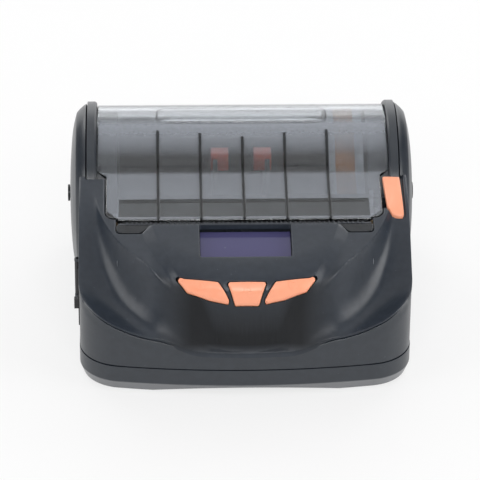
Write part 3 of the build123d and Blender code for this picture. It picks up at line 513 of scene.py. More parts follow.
def key_outline(points, gap):
    loop = rounded(points, [0.45] * len(points), 0.4)
    if area(loop) < 0:
        loop = loop[::-1]
    return on_deck(inward(fine(loop, 1.0), -gap))


key_plans = {"feed": KEY_SIDE, "menu": KEY_MIDDLE, "power": [(-x, y) for x, y in KEY_SIDE]}
screen_hole = inward(rectangle(-15.0, -44.1, 15.0, -29.1, 0.6, 0.4), -0.2)
holes = [screen_hole] + [key_outline(points, 0.3) for points in key_plans.values()]


def deck_place(u, v, depth):
    """The sheet hangs straight down, except that the key holes lean back with the keys' travel."""
    leaning = smooth_step(-v, 45.6, 47.6) * (1 - smooth_step(-v, 56.6, 57.3))
    return np.stack([u, v + 0.7 * depth * leaning, deck(u, v) - depth], 1)


def round_nose(radius, angle):
    """Place in plan at a distance and an angle from the centre of the nose."""
    return radius * sin(angle), NOSE_Y - radius * cos(angle)


nose_points = [round_nose(r, a) for r in np.arange(46.8, 52.4, 0.35) for a in np.linspace(-1.45, 1.45, 160)]
cliff_points = [round_nose(r, a) for r in np.arange(48.0, 49.6, 0.16) for a in np.linspace(-0.36, 0.36, 44)]
crease_points = []
for a in np.linspace(-1.5, 1.5, 260):
    r = 48.2 + 1.8 * smooth_step(abs(50.0 * sin(a)), 10.0, 30.0)
    crease_points += [round_nose(r + shift, a) for shift in (-0.18, 0.06, 0.3)]
facet_points = [
    (side * (console_edge(y) - share * facet_width(y) + shift), y)
    for side in (-1, 1)
    for share in (0.0, 1.0)
    for shift in (0.12, -0.12)
    for y in np.arange(-53.0, -25.2, 0.7)
]


def reach(tree, x, y, centre=(0.0, 0.0, 0.0)):
    """Distance in plan from a centre, in a material."""
    node = tree.nodes.new("ShaderNodeVectorMath")
    node.operation = "DISTANCE"
    node.inputs[1].default_value = centre
    tree.links.new(made(tree, "ShaderNodeCombineXYZ", X=x, Y=y), node.inputs[0])
    return node.outputs["Value"]


def make_console_black():
    """Lighter black for light on the top, with the steep face of the nose matt and painted darker as shade.
    """
    # Painted light: these tones are lighter than the wall's black, though top and wall are one moulding.
    tones = (0.021, 0.027, 0.037), (0.027, 0.034, 0.046)
    material = moulded_plastic("console black", *tones, 0.37, specular=0.45)
    tree, shader, parts = reopened(material)
    # Painted shade: the steep face of the nose, found by distance from the nose centre, width and height,
    # is painted near black.
    ahead = reach(tree, parts["X"], parts["Y"], (0.0, NOSE_Y * MM, 0.0))
    width = sums(tree, "ABSOLUTE", parts["X"], 0.0)
    middle = spread(tree, width, 0.018, 0.031, 1.0, 0.0)
    steep = spread(tree, ahead, 0.0478, 0.0486)
    high = spread(tree, parts["Z"], 0.0155, 0.019)
    mask = sums(tree, "MULTIPLY", sums(tree, "MULTIPLY", middle, steep), high)
    paint_over(tree, shader, mask, (0.004, 0.005, 0.007))
    shine = shader.inputs["Roughness"].links[0].from_socket
    tree.links.new(sums(tree, "ADD", shine, sums(tree, "MULTIPLY", mask, 0.42)), shader.inputs["Roughness"])
    return material


console_black = make_console_black()
sheet_points = [p for p in nose_points if abs(p[0]) > 18.0] + cliff_points + crease_points + facet_points
rim_edges = [0.5, 0.3] + [0.08] * len(key_plans)
loops = [plan] + holes
top_sheet = moulding("upper_shell_top", loops, deck_place, 1.1, rim_edges, 1.9, console_black, sheet_points)
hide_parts("top_shell")
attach(top_sheet, "chassis")

skirt = np.array([(-BODY_HALF_W, 4.0)] + [tuple(p) for p in front] + [(BODY_HALF_W, 4.0)])
along = np.concatenate([[0], np.cumsum(np.linalg.norm(np.diff(skirt, axis=0), axis=1))])
spans = np.diff(skirt, axis=0)
lean = np.stack([-spans[:, 1], spans[:, 0]], 1) / np.linalg.norm(spans, axis=1, keepdims=True)
lean = np.concatenate([lean[:1], lean[1:] + lean[:-1], lean[-1:]])
lean /= np.linalg.norm(lean, axis=1, keepdims=True)


def skirt_at(s):
    return np.interp(s, along, skirt[:, 0]), np.interp(s, along, skirt[:, 1])


def skirt_place(s, z, depth):
    x, y = skirt_at(s)
    below = deck(x, y) - z
    inset = depth + 0.15 + 0.4 * np.exp(-(((below - 2.1) / 0.9) ** 2))
    x = x + inset * np.interp(s, along, lean[:, 0])
    y = y + inset * np.interp(s, along, lean[:, 1])
    return np.stack([x, y, z], 1)


# Where the gap round the side caps cuts the ends of the skirt, height by height.
zs = np.linspace(SEAM_Z, deck(BODY_HALF_W, cap_y) - 1.25, 40)
rear = 4.0 - (DRUM_AT[0] - np.sqrt(CAP_GAP_R**2 - (zs - DRUM_AT[1]) ** 2))
left_rear = np.stack([rear, zs], 1)
right_rear = np.stack([along[-1] - rear, zs], 1)
crest_s = np.linspace(left_rear[-1, 0], right_rear[-1, 0], 240)[1:-1]
crest = np.stack([crest_s, deck(*skirt_at(crest_s)) - 1.25], 1)
skirt_loop = np.concatenate([right_rear, crest[::-1], left_rear[::-1]])
port_hole = rectangle(18.2, 13.3, 40.3, 26.9, 2.2, 0.3)
wall = moulding("upper_shell_wall", [skirt_loop, port_hole], skirt_place, 1.6, 0.25, 1.8, body_black)
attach(wall, "chassis")

PORT_PIN_AT = (-56.4, -14.0)
lug_turn = [(PORT_PIN_AT[0] + cos(a), PORT_PIN_AT[1] + sin(a)) for a in np.linspace(pi / 2, 1.5 * pi, 13)]
lug_turn += [(-54.2, PORT_PIN_AT[1] - 1.0), (-54.2, PORT_PIN_AT[1] + 1.0)]
for name, top in (("port_lug_low", 13.6), ("port_lug_high", 27.6)):

    def lug_place(x, y, depth, top=top):
        return np.stack([x, y, np.full(len(x), top) - depth], 1)

    lug = moulding(name, [lug_turn], lug_place, 0.6, 0.12, 1.0, body_black)
    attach(lug, "chassis")


# Side hubs: domed ABS caps that close the ends of the paper drum, each with a small strap stud in the
# middle. They snap into the cheeks and sit in a fine gap from the shells.
def turned(name, profile, material, at=DRUM_AT, steps=160):
    """Closed profile of (x, radius) points turned round an axis along X."""
    verts = []
    for k in range(steps):
        a = 2 * pi * k / steps
        verts.extend((x, at[0] + r * cos(a), at[1] + r * sin(a)) for x, r in profile)
    size = len(profile)
    rows = [list(range(k * size, (k + 1) * size)) for k in range(steps)]
    faces = [quad for upper, lower in zip(rows, rows[1:] + rows[:1]) for quad in band(upper, lower)]
    return finish_mesh(name, verts, faces, material)


def cut_below(piece, z):
    """Trim a piece at a height and close the cut."""
    work = bmesh.new()
    work.from_mesh(piece.data)
    geometry = work.verts[:] + work.edges[:] + work.faces[:]
    plane = {"plane_co": (0, 0, z * MM), "plane_no": (0, 0, -1)}
    cut = bmesh.ops.bisect_plane(work, geom=geometry, clear_outer=True, **plane)
    rim = [g for g in cut["geom_cut"] if isinstance(g, bmesh.types.BMEdge)]
    bmesh.ops.holes_fill(work, edges=rim, sides=0)
    bmesh.ops.recalc_face_normals(work, faces=work.faces)
    work.to_mesh(piece.data)
    work.free()


def dome(rim_r, out_x, start_x):
    """Hub section from rim to crown."""
    knots = [(start_x, rim_r), (start_x + 0.5, rim_r - 0.15), (out_x - 3.0, rim_r - 2.3)]
    knots += [(out_x - 1.7, rim_r - 5.4), (out_x - 0.9, rim_r - 10.5)]
    knots += [(out_x - 0.3, rim_r - 19.0), (out_x, 2.1)]
    radius = np.array([r for _, r in knots])[::-1]
    reach = np.array([x for x, _ in knots])[::-1]
    rs = np.concatenate([np.linspace(2.1, rim_r - 3.0, 24), np.linspace(rim_r - 2.7, rim_r, 12)])
    smooth = np.interp(rs, radius, reach)
    for _ in range(6):
        smooth[1:-1] = (smooth[:-2] + 2 * smooth[1:-1] + smooth[2:]) / 4
    return [(x, r) for x, r in zip(smooth, rs)]


for side, word in ((1, "right"), (-1, "left")):
    name = word + "_side_cap"
    outer = dome(30.8, 59.2, 53.4)
    inner = [(x - 1.8, r - (1.2 if r > 20 else 0.0)) for x, r in outer if x > 54.6][::-1]
    section = [(side * x, r) for x, r in outer + [(53.2, 30.5), (53.2, 29.4)] + inner]
    cap = turned(name + "_dome", section, body_black)
    cut_below(cap, SEAM_Z)
    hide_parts(name)
    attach(cap, "chassis")
    dress(word + "_cheek", body_black)
dress("strap_studs", inner_black)
dress("rear_housing", body_black)


# Cover: one piece of smoke-tinted polycarbonate, a half barrel over the paper roll that runs out into
# a flat lip. Five fine ribs stiffen it, a shallow thumb pocket sits on top, and it turns on the back hinge.
# A thin grey layer on its face is painted reflection of the lamps, strongest on the lip and on top
# of the barrel.
LIP_LINE = [(y, deck_plane(y)) for y in np.arange(-25.0, -2.2, 0.6)]
BARREL_R = 30.2


def barrel_at(angle):
    """Y and Z on the barrel, at degrees from its top towards the front."""
    a = radians(angle)
    return DRUM_AT[0] - BARREL_R * sin(a), DRUM_AT[1] + BARREL_R * cos(a)


BARREL_LINE = [barrel_at(a) for a in np.arange(48.5, -65.1, -1.0)]
cover_line = np.array(LIP_LINE + BARREL_LINE)
for _ in range(3):
    cover_line[1:-1] = (cover_line[:-2] + 2 * cover_line[1:-1] + cover_line[2:]) / 4
cover_run = np.concatenate([[0], np.cumsum(np.linalg.norm(np.diff(cover_line, axis=0), axis=1))])
heading = np.gradient(cover_line, axis=0)
heading /= np.linalg.norm(heading, axis=1, keepdims=True)
KINK_RUN = np.interp(-2.0, cover_line[:, 0], cover_run)
END_RUN = cover_run[-1]
RIB_XS = (-28.8, -14.4, 0.0, 14.4, 28.8)
RIB_ENDS = [np.interp(barrel_at(a)[0], cover_line[:70, 0], cover_run[:70]) for a in (17, 20, 23, 20, 17)]
POCKET_YS = (15.5, 27.0)
POCKET_HALF_W = 29.0
POCKET_R = 4.0
POCKET = [np.interp(y, cover_line[:80, 0], cover_run[:80]) for y in POCKET_YS]


def pocket_depth(x, t):
    """Rounded rectangle hollow, 0.7 mm deep, with short steep sides."""
    middle = (POCKET[0] + POCKET[1]) / 2
    dx = np.maximum(abs(x) - (POCKET_HALF_W - POCKET_R), 0)
    dt = np.maximum(abs(t - middle) - ((POCKET[1] - POCKET[0]) / 2 - POCKET_R), 0)
    return 0.7 * (1 - smooth_step(np.hypot(dx, dt), 3.6, 4.2))


def cover_place(x, t, depth):
    """Place on the cover, from X and the run along its section."""
    y, z, hy, hz = (np.interp(t, cover_run, line) for line in (*cover_line.T, *heading.T))
    lift = np.where(depth < 0.9, -pocket_depth(x, t), 0.0) - depth
    return np.stack([x, y - hz * lift, z + hy * lift], 1)


half = [(42.2, 0, 0.5), (42.2, 1.1, 0), (43.2, 1.13, 0)]
half += [(43.2 + 3.2 * cos(a), 4.3 + 3.2 * sin(a), 0) for a in np.linspace(-pi / 2, 0, 8)[1:]]
half += [(46.4, KINK_RUN - 1.0, 1.2), (49.4, KINK_RUN + 1.2, 1.0), (49.4, END_RUN, 0.8)]
cover_plan = softened(half + [(-x, t, r) for x, t, r in half[::-1]])
pocket_points = [
    (sx * x, POCKET[0] + (POCKET[1] - POCKET[0]) * k)
    for sx in (-1, 1)
    for x in (28.2, 28.9, 29.5)
    for k in np.linspace(-0.02, 1.02, 18)
] + [(x, t + dt) for x in np.arange(-27, 27.1, 1.5) for t in POCKET for dt in (-0.45, 0.05, 0.45)]


def pocket_rim_shade(tree, place):
    """Mask of a painted shade line round the pocket, for the shade on its steep side."""
    parts = split(tree, place)
    half_w = POCKET_HALF_W - POCKET_R
    half_d = (POCKET_YS[1] - POCKET_YS[0]) / 2 - POCKET_R
    across = sums(tree, "SUBTRACT", sums(tree, "ABSOLUTE", parts["X"], 0.0), half_w * MM)
    back = sums(tree, "SUBTRACT", parts["Y"], sum(POCKET_YS) / 2 * MM)
    back = sums(tree, "SUBTRACT", sums(tree, "ABSOLUTE", back, 0.0), half_d * MM)
    corner = reach(tree, sums(tree, "MAXIMUM", across, 0.0), sums(tree, "MAXIMUM", back, 0.0))
    off = sums(tree, "ABSOLUTE", sums(tree, "SUBTRACT", corner, POCKET_R * MM), 0.0)
    high = spread(tree, parts["Z"], 0.058, 0.059)
    return sums(tree, "MULTIPLY", spread(tree, off, 0.00022, 0.0004, 1.0, 0.0), high)


def make_smoke(name, tint, rough):
    """Smoke-tinted clear plastic with faint moulding marks, a little dust and a painted shade line round
    the pocket.
    """
    material, tree, shader, place = start_material(name)
    hands = add_group(tree, HANDLING, place, Specks_per_m=700.0)
    light = tuple(min(1.0, c * 1.1) for c in tint)
    clear = mixed(tree, hands["Smudge"], tint, light)
    # Painted shade: a dark grey line is laid round the rim of the thumb pocket.
    outlined = mixed(tree, pocket_rim_shade(tree, place), clear, (0.10, 0.11, 0.12))
    coat(tree, shader, outlined, spread(tree, hands["Smudge"], 0.0, 1.0, rough, rough + 0.06))
    shader.inputs["Transmission Weight"].default_value = 1.0
    shader.inputs["IOR"].default_value = 1.5
    shader.inputs["Specular IOR Level"].default_value = 0.22
    ripple = noise(tree, place, 60.0, 1.0)
    bump(tree, shader, ripple, 0.00008, 0.5)
    return material


smoke = make_smoke("smoke tint", (0.56, 0.585, 0.61), 0.06)
window = moulding("cover_window_moulding", [cover_plan], cover_place, 1.5, 0.4, 1.5, smoke, pocket_points)
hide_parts("cover_window")
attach(window, "cover")


def above_cover(height):
    """Places on the outside of the cover, raised by a height in mm."""
    return lambda x, t, depth: cover_place(x, t, depth - height)


RIB_HALF_W = 0.48
RIB_PROUD = 0.5
REFLECTION_PROUD = 0.09
# Painted shade: the ribs take a tint about ten times darker than the cover, for the dark lines their edges
# show.
rib_shade_smoke = make_smoke("smoke rib shade", (0.050, 0.056, 0.064), 0.1)
for number, (at, end) in enumerate(zip(RIB_XS, RIB_ENDS)):
    outline = rectangle(at - RIB_HALF_W, 0.25, at + RIB_HALF_W, end, 0.2, 0.5)
    rib = moulding(f"cover_rib_{number + 1}", [outline], above_cover(RIB_PROUD), 0.9, 0.16, 0.47, rib_shade_smoke)
    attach(rib, "cover")

# Painted reflection: a see-through grey sheet whose opacity rises on top of the barrel and on the lip,
# where the lamps would show in the cover.
painted_reflection, tree, shader, place = start_material("painted reflection face")
reflection_noise = noise(tree, place, 900.0, 3.0, 0.6)
parts = split(tree, place)
on_lip = spread(tree, parts["Y"], -0.003, -0.0015, 0.31, 0.0)
on_barrel = spread(tree, parts["Z"], 0.0575, 0.0632, 0.02, 0.56)
on_barrel = sums(tree, "MULTIPLY", on_barrel, spread(tree, parts["Y"], 0.0145, 0.0185, 1.0, 0.12))
share = sums(tree, "MAXIMUM", on_lip, on_barrel)
share = sums(tree, "MULTIPLY", share, spread(tree, reflection_noise, 0.3, 0.7, 0.92, 1.08))
tree.links.new(share, shader.inputs["Alpha"])
grey = mixed(tree, reflection_noise, (0.33, 0.355, 0.40), (0.38, 0.405, 0.45))
coat(tree, shader, grey, spread(tree, reflection_noise, 0.3, 0.7, 0.5, 0.7))
block_edge = rectangle(-42.0, 1.6, 42.0, 10.4, 0.6, 0.5)
face_half = [(42.0, 0.5, 0.5), (46.0, 4.6, 0.5), (46.0, KINK_RUN - 1.4, 1.0)]
face_half += [(49.0, KINK_RUN + 1.0, 0.8), (49.0, END_RUN - 0.6, 0.5)]
face_edge = softened(face_half + [(-x, t, r) for x, t, r in face_half[::-1]], 0.5)
face_loops = [face_edge, block_edge]
above = above_cover(REFLECTION_PROUD)
film = moulding("cover_painted_reflection_face", face_loops, above, 1.5, 0.02, 0.06, painted_reflection, pocket_points)
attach(film, "cover")


# Platen unit: a black ABS holder hangs under the lip and carries a ground rubber roller on a steel
# shaft in two bronze bushes. It swings up with the cover and closes on the print head.
def stretched(tree, place, factors):
    node = tree.nodes.new("ShaderNodeVectorMath")
    node.operation = "MULTIPLY"
    node.inputs[1].default_value = factors
    tree.links.new(place, node.inputs[0])
    return node.outputs[0]


def metal(name, tint, rough, factors=(1.0, 1.0, 1.0)):
    """Bare metal with drawing or turning marks stretched along one axis."""
    material, tree, shader, place = start_material(name)
    marks = noise(tree, stretched(tree, place, factors), 1500.0, 3.0, 0.6)
    hands = add_group(tree, HANDLING, place, Specks_per_m=1200.0)
    light = tuple(min(1.0, 1.15 * c) for c in tint)
    stain = tuple(0.72 * c for c in tint)
    base = mixed(tree, marks, tint, light)
    shine = spread(tree, marks, 0.3, 0.7, rough, rough + 0.14)
    coat(tree, shader, mixed(tree, hands["Specks"], base, stain), shine)
    shader.inputs["Metallic"].default_value = 1.0
    bump(tree, shader, marks, 0.000004)
    return material


def rubber(name, tone, rough, factors=(1.0, 1.0, 1.0)):
    """Matt rubber with grinding marks or moulding bloom."""
    material, tree, shader, place = start_material(name)
    ground = noise(tree, stretched(tree, place, factors), 1800.0, 4.0, 0.7)
    hands = add_group(tree, HANDLING, place, Specks_per_m=1500.0)
    base = mixed(tree, ground, (tone, tone, tone * 1.1), (tone * 1.5, tone * 1.5, tone * 1.6))
    shine = spread(tree, hands["Smudge"], 0.0, 1.0, rough, rough - 0.12)
    coat(tree, shader, mixed(tree, hands["Specks"], base, (0.09, 0.09, 0.085)), shine)
    bump(tree, shader, ground, 0.000015)
    return material


steel = metal("ground steel", (0.55, 0.56, 0.58), 0.22, (0.06, 1.0, 1.0))
bronze = metal("sintered bronze", (0.20, 0.14, 0.08), 0.5)
roller_rubber = rubber("ground rubber", 0.022, 0.62, (1.0, 0.3, 0.3))
dress("platen_holder", inner_black)
dress("platen_shaft", steel)
dress("platen_roller", roller_rubber)
dress("platen_bushes", bronze)


# Print head and tear bar: the ceramic line head sits on an extruded aluminium heat sink, pressed by two
# coil springs; a stamped blade with fine teeth is screwed in front and a black strip guards its foot.
def grown(name, build, material, **values):
    """Mesh grown once from a geometry node tree with named inputs."""
    tree = bpy.data.node_groups.new(name, "GeometryNodeTree")
    tree.interface.new_socket("Geometry", in_out="OUTPUT", socket_type="NodeSocketGeometry")
    for label, value in values.items():
        kind = "NodeSocketInt" if isinstance(value, int) else "NodeSocketFloat"
        socket = tree.interface.new_socket(label.replace("_", " "), in_out="INPUT", socket_type=kind)
        socket.default_value = value
    take = tree.nodes.new("NodeGroupInput").outputs
    shape = build(tree, take)
    real = made(tree, "GeometryNodeRealizeInstances", Geometry=shape)
    painted = made(tree, "GeometryNodeSetMaterial", Geometry=real, Material=material)
    tree.links.new(painted, tree.nodes.new("NodeGroupOutput").inputs[0])
    piece = put(name, bpy.data.meshes.new(name + " seed"))
    piece.modifiers.new("grow", "NODES").node_group = tree
    graph = bpy.context.evaluated_depsgraph_get()
    mesh = bpy.data.meshes.new_from_object(piece.evaluated_get(graph), depsgraph=graph)
    piece.modifiers.clear()
    piece.data = mesh
    mesh.shade_smooth()
    mesh.set_sharp_from_angle(angle=radians(40))
    return piece


def joined(tree, shapes):
    node = tree.nodes.new("GeometryNodeJoinGeometry")
    for shape in shapes:
        tree.links.new(shape, node.inputs[0])
    return node.outputs[0]


def moved(tree, shape, at=(0, 0, 0), turn=(0, 0, 0), scale=(1, 1, 1)):
    inputs = {"Translation": at, "Rotation": turn, "Scale": scale}
    return made(tree, "GeometryNodeTransform", Geometry=shape, **inputs)


def row(tree, unit, count, first, pitch):
    """Copies of a unit along a line."""
    line = made(tree, "GeometryNodeMeshLine", Count=count, Start_Location=first, Offset=pitch)
    return made(tree, "GeometryNodeInstanceOnPoints", Points=line, Instance=unit)


def blade_shape(tree, take):
    """Stamped strip with a row of pointed teeth along its top."""
    strip = made(tree, "GeometryNodeMeshCube", Size=(0.0844, 0.0008, 0.0114))
    strip = moved(tree, strip, (0.0, BLADE_Y * MM, (blade_top - 5.7) * MM))
    foot, height = take["Tooth radius"], take["Tooth height"]
    cone = {"Vertices": 4, "Radius_Top": 0.00004, "Radius_Bottom": foot, "Depth": height}
    tooth = made(tree, "GeometryNodeMeshCone", **cone)
    tooth = moved(tree, tooth, scale=(1, 0.5, 1))
    first = (-0.0392, BLADE_Y * MM, (blade_top - 0.1) * MM)
    pitch = made(tree, "ShaderNodeCombineXYZ", X=take["Pitch"])
    teeth = row(tree, tooth, take["Teeth"], first, pitch)
    return joined(tree, [strip, teeth])


BLADE_Y = -27.1
blade_top = deck_plane(BLADE_Y) + 0.2
blade_steel = metal("blade steel", (0.085, 0.09, 0.10), 0.45, (1.0, 1.0, 0.1))
teeth = {"Teeth": 50, "Pitch": 0.0016, "Tooth_radius": 0.0008, "Tooth_height": 0.0009}
blade = grown("tear_blade_teeth", blade_shape, blade_steel, **teeth)
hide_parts("tear_blade")
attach(blade, "chassis")

BEZEL = [(-42.8, -27.56), (-42.8, -31.1), (-34.5, -31.1), (-31.9, -28.5)]
BEZEL += [(-x, y) for x, y in BEZEL[::-1]]


BEZEL_PROUD = 0.25


def bezel_place(u, v, depth):
    return np.stack([u, v, deck_plane(v) + BEZEL_PROUD - depth], 1)


strip_black = moulded_plastic("guard strip", (0.010, 0.012, 0.015), (0.016, 0.019, 0.023), 0.3, 0.06)
bezel_line = rounded(BEZEL, [0.3, 1.6, 1.6, 0.8, 0.8, 1.6, 1.6, 0.3], 0.3)
bezel = moulding("tear_bezel_strip", [bezel_line], bezel_place, 0.8, 0.22, 2.8, strip_black)
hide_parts("tear_bezel")
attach(bezel, "chassis")


def one_coil(tree, take):
    """Open coil of round wire."""
    size = {"Start_Radius": take["Radius"], "End_Radius": take["Radius"], "Height": take["Length"]}
    spine = made(tree, "GeometryNodeCurveSpiral", Resolution=24, Rotations=take["Turns"], **size)
    wire = made(tree, "GeometryNodeCurvePrimitiveCircle", Resolution=10, Radius=take["Wire"])
    return made(tree, "GeometryNodeCurveToMesh", Curve=spine, Profile_Curve=wire, Fill_Caps=True)


def coil_pair(xs, y, z, turn):
    """Builder of two coils, side by side."""

    def build(tree, take):
        coil = one_coil(tree, take)
        return joined(tree, [moved(tree, coil, (x, y, z), turn) for x in xs])

    return build


spring_wire = metal("spring wire", (0.42, 0.43, 0.45), 0.3)
pair = coil_pair((-0.016, 0.016), -0.0272, 0.0351, (pi / 2, 0.0, 0.0))
coils = grown("head_coils", pair, spring_wire, Turns=6.0, Radius=0.002, Length=0.0048, Wire=0.00035)
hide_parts("head_springs")
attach(coils, "chassis")


def mottled(name, dark, light, shine, scale, detail, factors=(1.0, 1.0, 1.0), depth=0.0, rough=0.5):
    """Material whose tone, shine and relief all follow one noise."""
    material, tree, shader, place = start_material(name)
    marks = noise(tree, stretched(tree, place, factors), scale, detail, rough)
    coat(tree, shader, mixed(tree, marks, dark, light), spread(tree, marks, 0.3, 0.7, *shine))
    if depth:
        bump(tree, shader, marks, depth)
    return material


glaze = (0.62, 0.60, 0.52), (0.70, 0.68, 0.61), (0.16, 0.3)
dress("print_head", mottled("line head ceramic", *glaze, 700.0, 3.0, (0.4, 1.0, 3.0)))
dress("head_sink", metal("sink aluminium", (0.58, 0.59, 0.61), 0.35, (0.05, 1.0, 1.0)))
dress("paper_chute", inner_black)
dress("paper_well", inner_black)


# Display: a violet-grey acrylic window sunk in the centre panel over a small dark-framed module. The
# window is glued in from above, a little below the panel, with a fine gap round it.
def make_window():
    material, tree, shader, place = start_material("display window")
    hands = add_group(tree, HANDLING, place, Specks_per_m=1100.0)
    parts = split(tree, place)
    # The window's tint runs lighter from its front edge towards its back edge.
    fall = spread(tree, parts["Y"], -0.044, -0.029)
    window_ramp_tint = mixed(tree, fall, (0.050, 0.046, 0.120), (0.072, 0.068, 0.165))
    shine = spread(tree, hands["Smudge"], 0.0, 1.0, 0.07, 0.16)
    coat(tree, shader, mixed(tree, hands["Specks"], window_ramp_tint, (0.2, 0.2, 0.26)), shine)
    wave = noise(tree, place, 90.0, 1.0)
    bump(tree, shader, wave, 0.00002)
    return material


dress("display_lens", make_window())
dress("display_module", inner_black)


# Keys: three satin orange caps in an arc on the shoulder of the nose, feed, menu and power. Each is a
# domed moulding in its own hole, held by a flange under the shell and pressed against a dome switch.
def make_orange(name, dark, light):
    material, tree, shader, place = start_material(name)
    grain = add_group(tree, MOULD_GRAIN, place, Pits_per_m=3400.0)
    hands = add_group(tree, HANDLING, place, Specks_per_m=800.0)
    base = mixed(tree, grain["Tone"], dark, light)
    worn = tuple(0.93 * c for c in light)
    shine = spread(tree, hands["Smudge"], 0.0, 1.0, 0.36, 0.28)
    coat(tree, shader, mixed(tree, hands["Smudge"], base, worn), shine)
    bump(tree, shader, grain["Height"], 0.00001)
    return material


orange = make_orange("satin orange", (1.0, 0.37, 0.21), (1.0, 0.41, 0.245))
CAP_PROUD = 0.55
MARK_PROUD = 0.14


def key_place(u, v, depth):
    """Cap surface: the deck raised, with the thickness taken along the key's travel."""
    y, z = key_point(v, travel_to_deck(u, v) + CAP_PROUD - depth)
    return np.stack([u, y, z], 1)


def mark_place(u, v, depth):
    return key_place(u, v, depth - MARK_PROUD)


RING = [(1.5 * cos(a), 1.5 * sin(a)) for a in np.linspace(0, 2 * pi, 24, endpoint=False)]
BORE = [(0.62 * x, 0.62 * y) for x, y in RING]
ARROW = [(-1.3, -1.0), (1.3, -1.0), (0.0, 1.3)]
marks = {
    "feed": [[(-15.0 + x, -1.4 + y) for x, y in ARROW]],
    "menu": [[(0.75 * x, -3.4 + 0.75 * y) for x, y in RING]],
    "power": [[(15.0 + x, -1.2 + y) for x, y in RING], [(15.0 + x, -1.2 + y) for x, y in BORE]],
}
for key, points in key_plans.items():
    loop = rounded(points, [0.7, 0.7, 0.9, 0.7, 0.5, 0.9, 0.9][: len(points)], 0.3)
    cap = moulding(key + "_key_cap", [loop], key_place, 0.7, 0.45, 1.35, orange)
    mark = moulding(key + "_key_mark", marks[key], mark_place, 0.5, 0.1, 0.4, orange)
    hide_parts(key + "_button")
    for piece in (cap, mark):
        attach(piece, key + "_key")


# Release lever: an orange rocker beside the cover's right edge. Its front goes down under a finger, it
# turns on a steel pin in the frame, and through a link it draws the latch off the platen shaft.
LEVER_PROUD = 0.5
LEVER = [(47.15, -4.6), (48.0, -19.4), (49.6, -21.0), (53.6, -21.6), (53.0, -4.8)]


def lever_place(u, v, depth):
    return np.stack([u, v, deck(u, v) + LEVER_PROUD - depth], 1)


lever_line = rounded(LEVER, [0.5, 0.8, 0.8, 0.9, 0.5], 0.3)
lever = moulding("release_lever_top", [lever_line], lever_place, 0.8, 0.5, 1.8, orange)
ring = [(48.8, 1.08), (52.4, 1.08), (52.4, 1.9), (48.8, 1.9)]
hub = turned("release_lever_hub", ring, orange, (-9.8, 48.0), 32)
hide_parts("release_lever")
for piece in (lever, hub):
    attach(piece, "lever")
sheet_zinc = metal("zinc sheet", (0.60, 0.61, 0.63), 0.32)
dress("lever_pin", metal("black oxide steel", (0.05, 0.05, 0.056), 0.4))
dress("latch_hook", sheet_zinc)
dress("latch_pin", steel)


# Paper guides: two black discs on a steel rail across the well hold the roll's ends, each with a
# deep orange thumb tab. They are pulled together by a spring and always move the same distance.
tab_orange = make_orange("thumb tab orange", (0.55, 0.075, 0.035), (0.62, 0.09, 0.042))
for side in ("left", "right"):
    dress(side + "_paper_guide", inner_black)
    dress(side + "_guide_tab", tab_orange)
dress("guide_rail", steel)


# Paper sensor: an amber flat flex runs under the cover from the hinge to the platen holder and is
# stuck down by a wider strip of light grey tape.
film = (0.24, 0.10, 0.035), (0.32, 0.14, 0.05), (0.22, 0.36)
dress("sensor_flex", mottled("amber film", *film, 500.0, 2.0, (6.0, 0.4, 0.4), 0.00001))
tape = (0.30, 0.31, 0.33), (0.38, 0.39, 0.41), (0.5, 0.7)
dress("flex_tape", mottled("grey tape", *tape, 1600.0, 3.0, depth=0.00002, rough=0.6))


# Drive: a small geared motor behind the left frame plate turns the platen through two gears, an acetal
# idler and the platen's own wheel; the pressed zinc frame carries pins, motor, head and latch.
milky = (0.70, 0.69, 0.64), (0.78, 0.77, 0.73), (0.3, 0.42)
acetal = mottled("acetal", *milky, 260.0, 3.0, depth=0.00001)
dress("platen_gear", acetal)
dress("idler_gear", acetal)
dress("motor_pinion", metal("turned brass", (0.62, 0.42, 0.15), 0.28, (1.0, 0.2, 0.2)))
dress("idler_pin", steel)
dress("motor_shaft", steel)
dress("feed_motor", metal("drawn can", (0.34, 0.35, 0.37), 0.34, (0.1, 1.0, 1.0)))
dress("mech_frame", sheet_zinc)


# Cover hinge: a steel pin through the ears of the housing and the black bar inside the cover, with
# two torsion springs that lift the cover once it is let go.
pair = coil_pair((-0.0229, 0.0181), 0.0518, 0.0462, (0.0, pi / 2, 0.0))
coils = grown("hinge_coils", pair, spring_wire, Turns=6.0, Radius=0.0022, Length=0.0048, Wire=0.00035)
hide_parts("hinge_springs")
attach(coils, "chassis")
dress("hinge_pin", steel)
dress("hinge_bar", inner_black)


# Electronics: a main board over the battery, a key board with three dome switches under the nose, and
# a socket board in the left wall with a USB socket and a charging jack.
board, tree, shader, place = start_material("solder mask")
slim = stretched(tree, place, (1.0, 2.2, 1.0))
cells = made(tree, "ShaderNodeTexVoronoi", Scale=420.0, Vector=slim)
tracks = spread(tree, cells, 0.25, 0.35)
green = mixed(tree, tracks, (0.010, 0.085, 0.040), (0.022, 0.130, 0.062))
coat(tree, shader, green, spread(tree, tracks, 0.0, 1.0, 0.3, 0.4))
bump(tree, shader, tracks, 0.00002)
for name in ("main_board", "key_board", "io_board"):
    dress(name, board)
dress("key_switches", metal("switch domes", (0.45, 0.45, 0.46), 0.35))
dress("usb_socket", metal("plated shell", (0.62, 0.62, 0.64), 0.28))
dress("dc_socket", inner_black)


# Socket flap: a soft black rubber flap with a pull tab closes the sockets; it swings on a thin steel
# pin between two lugs of the upper shell.
flap_rubber = rubber("flap rubber", 0.024, 0.55)
dress("port_cover", flap_rubber)
dress("port_pin", steel)


